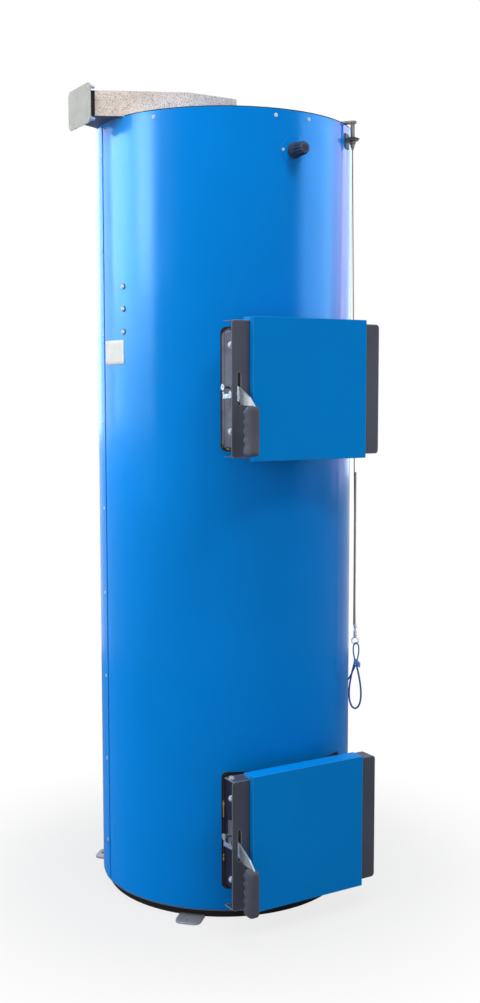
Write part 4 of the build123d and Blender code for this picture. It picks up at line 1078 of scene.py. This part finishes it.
# %% [markdown]
# ## Closed ends of the door covers
# A cover's top and bottom flanges fold back over the casing, and at both ends a small strip
# of the same sheet closes the gap between flange and casing. The strips' blue is painted
# lighter than the cover's, as painted light. Each strip is a thin plate, so one section is
# carried along its depth.

# %% End strips of the covers
STRIP_X, STRIP_Z, STRIP_Y = (0.1625, 0.1640), (0.1614, 0.1684), (-0.3750, -0.4028)


def end_strip(side, centre, upright):
    """A thin upright plate at one end of a flange: a rectangle in x and z carried in y."""
    (x_low, x_high), (z_low, z_high) = STRIP_X, STRIP_Z
    section = np.array([(x_low, z_low), (x_high, z_low), (x_high, z_high), (x_low, z_high)])
    section = [0, centre] + section * [side, upright]
    section = section[::int(side * upright)]
    return carried(np.stack([np.column_stack([section[:, 0], np.full(4, y), section[:, 1]])
                             for y in STRIP_Y]))


for door, centre in DOORS.items():
    strips = joined(*[end_strip(side, centre, upright) for side in (-1, 1) for upright in (-1, 1)])
    piece(f"{door}_cover_end_strips", strips, lit_strip_coat, f"{door}_door", False)

# %% [markdown]
# ## Weld beads
# The flue stub and the water sockets are welded in. A weld bead is a rope of overlapping
# ripples. Bump alone would leave its outline smooth, so a small circle is carried round the
# joint and its radius pulses.

# %% Weld beads at the back
def weld_bead(centre, radius, size, ripples, steps=240, count=8):
    """A ring about the Y axis whose section's radius is size times (0.8 + 0.35 |sin|), with
    that many ripples round it."""
    points, faces = ring(centre, (0, 1, 0), radius, size, steps, count)
    middle = np.asarray(centre)
    flat = (points - middle) * [1, 0, 1]
    length = np.linalg.norm(flat, axis=1, keepdims=True)
    core = middle + flat / length * radius
    angle = np.arctan2(flat[:, 2], flat[:, 0])
    pulse = 0.8 + 0.35 * np.abs(np.sin(ripples * angle / 2))
    return core + (points - core) * pulse[:, None], faces


FLUE_HEIGHT, FLOW_HEIGHT, RETURN_HEIGHT = 1.700, 1.880, 0.130
beads = joined(weld_bead((0, 0.3462, FLUE_HEIGHT), 0.0910, 0.0030, 70),
               weld_bead((0, 0.3402, FLOW_HEIGHT), 0.0262, 0.0022, 30),
               weld_bead((0, 0.3402, RETURN_HEIGHT), 0.0262, 0.0022, 30))
piece("back_weld_beads", beads, vessel_paint, "boiler")

# %% [markdown]
# ## The floor
# The photograph has no floor, only white and a faint shadow. A plain white sheet would take
# a shadow with a grey end, so this round sheet is matt under the boiler and, for the camera
# alone, turns into even white light before its edge.

# %% Floor
FLOOR_RADIUS, FLOOR_TOP, FLOOR_FOOT = 3.0, -0.0005, -0.002
WHITE = (1.0, 1.0, 1.0, 1.0)


def floor_disc(radius, steps=96):
    """A thin disc as a turned profile: out along its underside and back over its top."""
    reach = np.linspace(radius, 0.1, 12)
    top = np.stack([reach, np.full(12, FLOOR_TOP)], 1)
    return turned([(0, FLOOR_FOOT), (radius, FLOOR_FOOT), *top, (0, FLOOR_TOP)], steps)


floor_coat = bpy.data.materials.new("studio_floor")
floor_coat.use_nodes = True
tree = floor_coat.node_tree
tree.nodes.clear()
matt = add(tree, "BsdfDiffuse", {"Color": (0.38, 0.38, 0.38, 1.0)}).outputs["BSDF"]
glow = add(tree, "Emission", {"Color": WHITE, "Strength": 1.0}).outputs["Emission"]
reach = add(tree, "VectorMath", {0: add(tree, "NewGeometry").outputs["Position"]},
            operation="LENGTH").outputs["Value"]
camera_share = add(tree, "Math", {0: add(tree, "LightPath").outputs["Is Camera Ray"],
                                  1: spread(tree, reach, 0.36, 1.05, 0.80, 1.0)},
                   operation="MULTIPLY").outputs["Value"]
mixed = add(tree, "MixShader", {"Fac": camera_share, 1: matt, 2: glow})
add(tree, "OutputMaterial", {"Surface": mixed.outputs["Shader"]})
floor_points, floor_faces = floor_disc(FLOOR_RADIUS)
floor_mesh = bpy.data.meshes.new("studio_floor")
floor_mesh.from_pydata(floor_points.tolist(), [], floor_faces)
floor_mesh.materials.append(floor_coat)
floor = bpy.data.objects.new("studio_floor", floor_mesh)
bpy.context.scene.collection.objects.link(floor)
print("floor", FLOOR_RADIUS, "m in radius")

# %% [markdown]
# ## Background and lamps
# The camera, shiny metal and glass see a plain white world, and matt surfaces are lit by a
# weaker, slightly blue one, so that the background is white and the boiler isn't washed
# out. Large lamps on the left, above and in front give the soft studio light. They don't
# show in glossy surfaces, because the jacket's streaks get boards of their own.

# %% World and lamps
world = bpy.data.worlds.new("studio_world")
bpy.context.scene.world = world
world.use_nodes = True
sky = world.node_tree
sky.nodes.clear()
rays = add(sky, "LightPath").outputs
plain = add(sky, "Background", {"Color": WHITE, "Strength": 1.0}).outputs["Background"]
dim = add(sky, "Background", {"Color": (0.92, 0.96, 1.0, 1.0), "Strength": 0.31})
seen = rays["Is Camera Ray"]
for kind in ("Is Glossy Ray", "Is Transmission Ray"):
    seen = add(sky, "Math", {0: seen, 1: rays[kind]}, operation="MAXIMUM").outputs["Value"]
picked = add(sky, "MixShader", {"Fac": seen, 1: dim.outputs["Background"], 2: plain})
add(sky, "OutputWorld", {"Surface": picked.outputs["Shader"]})


def soft_light(name, azimuth, reach, height, wide, tall, power, tint, aim):
    """A rectangular lamp at an azimuth and reach that looks at the boiler's axis, at the
    height aim."""
    lamp = bpy.data.lights.new(name, "AREA")
    lamp.shape, lamp.size, lamp.size_y, lamp.energy = "RECTANGLE", wide, tall, power
    lamp.color = tint
    holder = bpy.data.objects.new(name, lamp)
    bpy.context.scene.collection.objects.link(holder)
    spot = around(azimuth, reach, height)
    turn = facing((spot - [0.0, 0.0, aim])[None])[0]
    holder.matrix_world = Matrix.Translation(spot) @ Matrix(turn.tolist()).to_4x4()
    return holder


NEUTRAL = (1.0, 1.0, 1.0)
for row in (("key_light", -85.0, 3.0, 2.6, 1.6, 1.6, 50.0, NEUTRAL, 1.2),
            ("front_fill", -10.0, 3.6, 1.0, 1.8, 1.8, 4.0, NEUTRAL, 1.0),
            ("top_light", -20.0, 1.2, 6.0, 2.5, 2.5, 120.0, NEUTRAL, 1.0),
            ("high_front", 4.0, 2.3, 3.9, 0.7, 0.7, 29.0, NEUTRAL, 1.3),
            ("right_fill", 66.0, 3.2, 1.8, 1.6, 1.6, 16.0, (0.94, 0.97, 1.0), 1.2)):
    soft_light(*row).visible_glossy = False
print("world and lamps ready")

# %% [markdown]
# ## Reflection cards
# White boards beside a glossy round thing make the long streaks that show how it curves.
# Here each board is a lamp that lights no matt surface. The left streak is laid from four
# boards whose lower edges differ, so that it fades downwards, and the right one from a blue
# board with violet ones beyond it. Pale boards far round on each side light the jacket's
# edges, and a soft lamp on the left adds the glow that fades towards the front. Light
# linking keeps them to the blue sheet, because bare zinc would turn plain white in them,
# and lets the duct cast no shadow into the streak.

# %% Reflection cards for the blue sheet
def linked(name, pieces):
    """A collection of solids for light linking."""
    made = bpy.data.collections.new(name)
    for node in pieces:
        made.objects.link(nodes[node])
    return made


DUCT = {"air_duct", "duct_gasket_frame", "duct_cover_plate"}
blue_sheet = linked("blue_sheet", ("jacket_front", "jacket_back", "seam_strips",
                                   "regulator_escutcheon"))
card_shades = linked("card_shades", sorted(set(nodes) - DUCT))
CARD_REACH = 2.6
# each: azimuth, height, width, height of the board, power, tint, height that it looks at
for name, azimuth, height, wide, tall, power, tint, aim in (
        ("left_card", -116.0, 2.175, 2.5, 2.05, 256.0, (0.68, 0.96, 1.0), 1.8),
        ("left_high_card", -116.0, 2.475, 2.5, 1.45, 127.0, (0.68, 0.96, 1.0), 1.8),
        ("left_middle_card", -109.0, 2.35, 1.79, 1.7, 137.0, (0.68, 0.96, 1.0), 1.8),
        ("left_front_card", -98.5, 2.5, 0.72, 1.4, 111.0, (0.68, 0.90, 1.0), 1.8),
        ("right_card", 55.5, 2.1, 1.85, 2.0, 370.0, (0.30, 0.64, 1.0), 1.6),
        ("right_violet_card", 88.5, 1.975, 1.25, 2.25, 37.0, (0.78, 0.60, 1.0), 1.5),
        ("right_violet_high_card", 88.5, 2.35, 1.25, 1.5, 35.0, (0.78, 0.60, 1.0), 1.5),
        ("right_edge_card", 113.5, 2.0, 1.0, 2.2, 22.0, (0.80, 0.96, 1.0), 1.5),
        ("left_violet_card", -153.5, 2.1, 1.06, 2.0, 34.0, (0.78, 0.62, 1.0), 1.6),
        ("left_edge_card", -176.0, 2.1, 1.0, 2.0, 20.0, (0.80, 1.0, 1.0), 1.6)):
    card = soft_light(name, azimuth, CARD_REACH, height, wide, tall, power, tint, aim)
    card.visible_diffuse = card.visible_camera = False
    card.light_linking.receiver_collection = blue_sheet
    card.light_linking.blocker_collection = card_shades
side_glow = soft_light("side_glow", -135.0, CARD_REACH, 2.2, 1.4, 1.4, 62.0, NEUTRAL, 1.6)
side_glow.visible_glossy = False
side_glow.light_linking.receiver_collection = blue_sheet
print("cards ready")
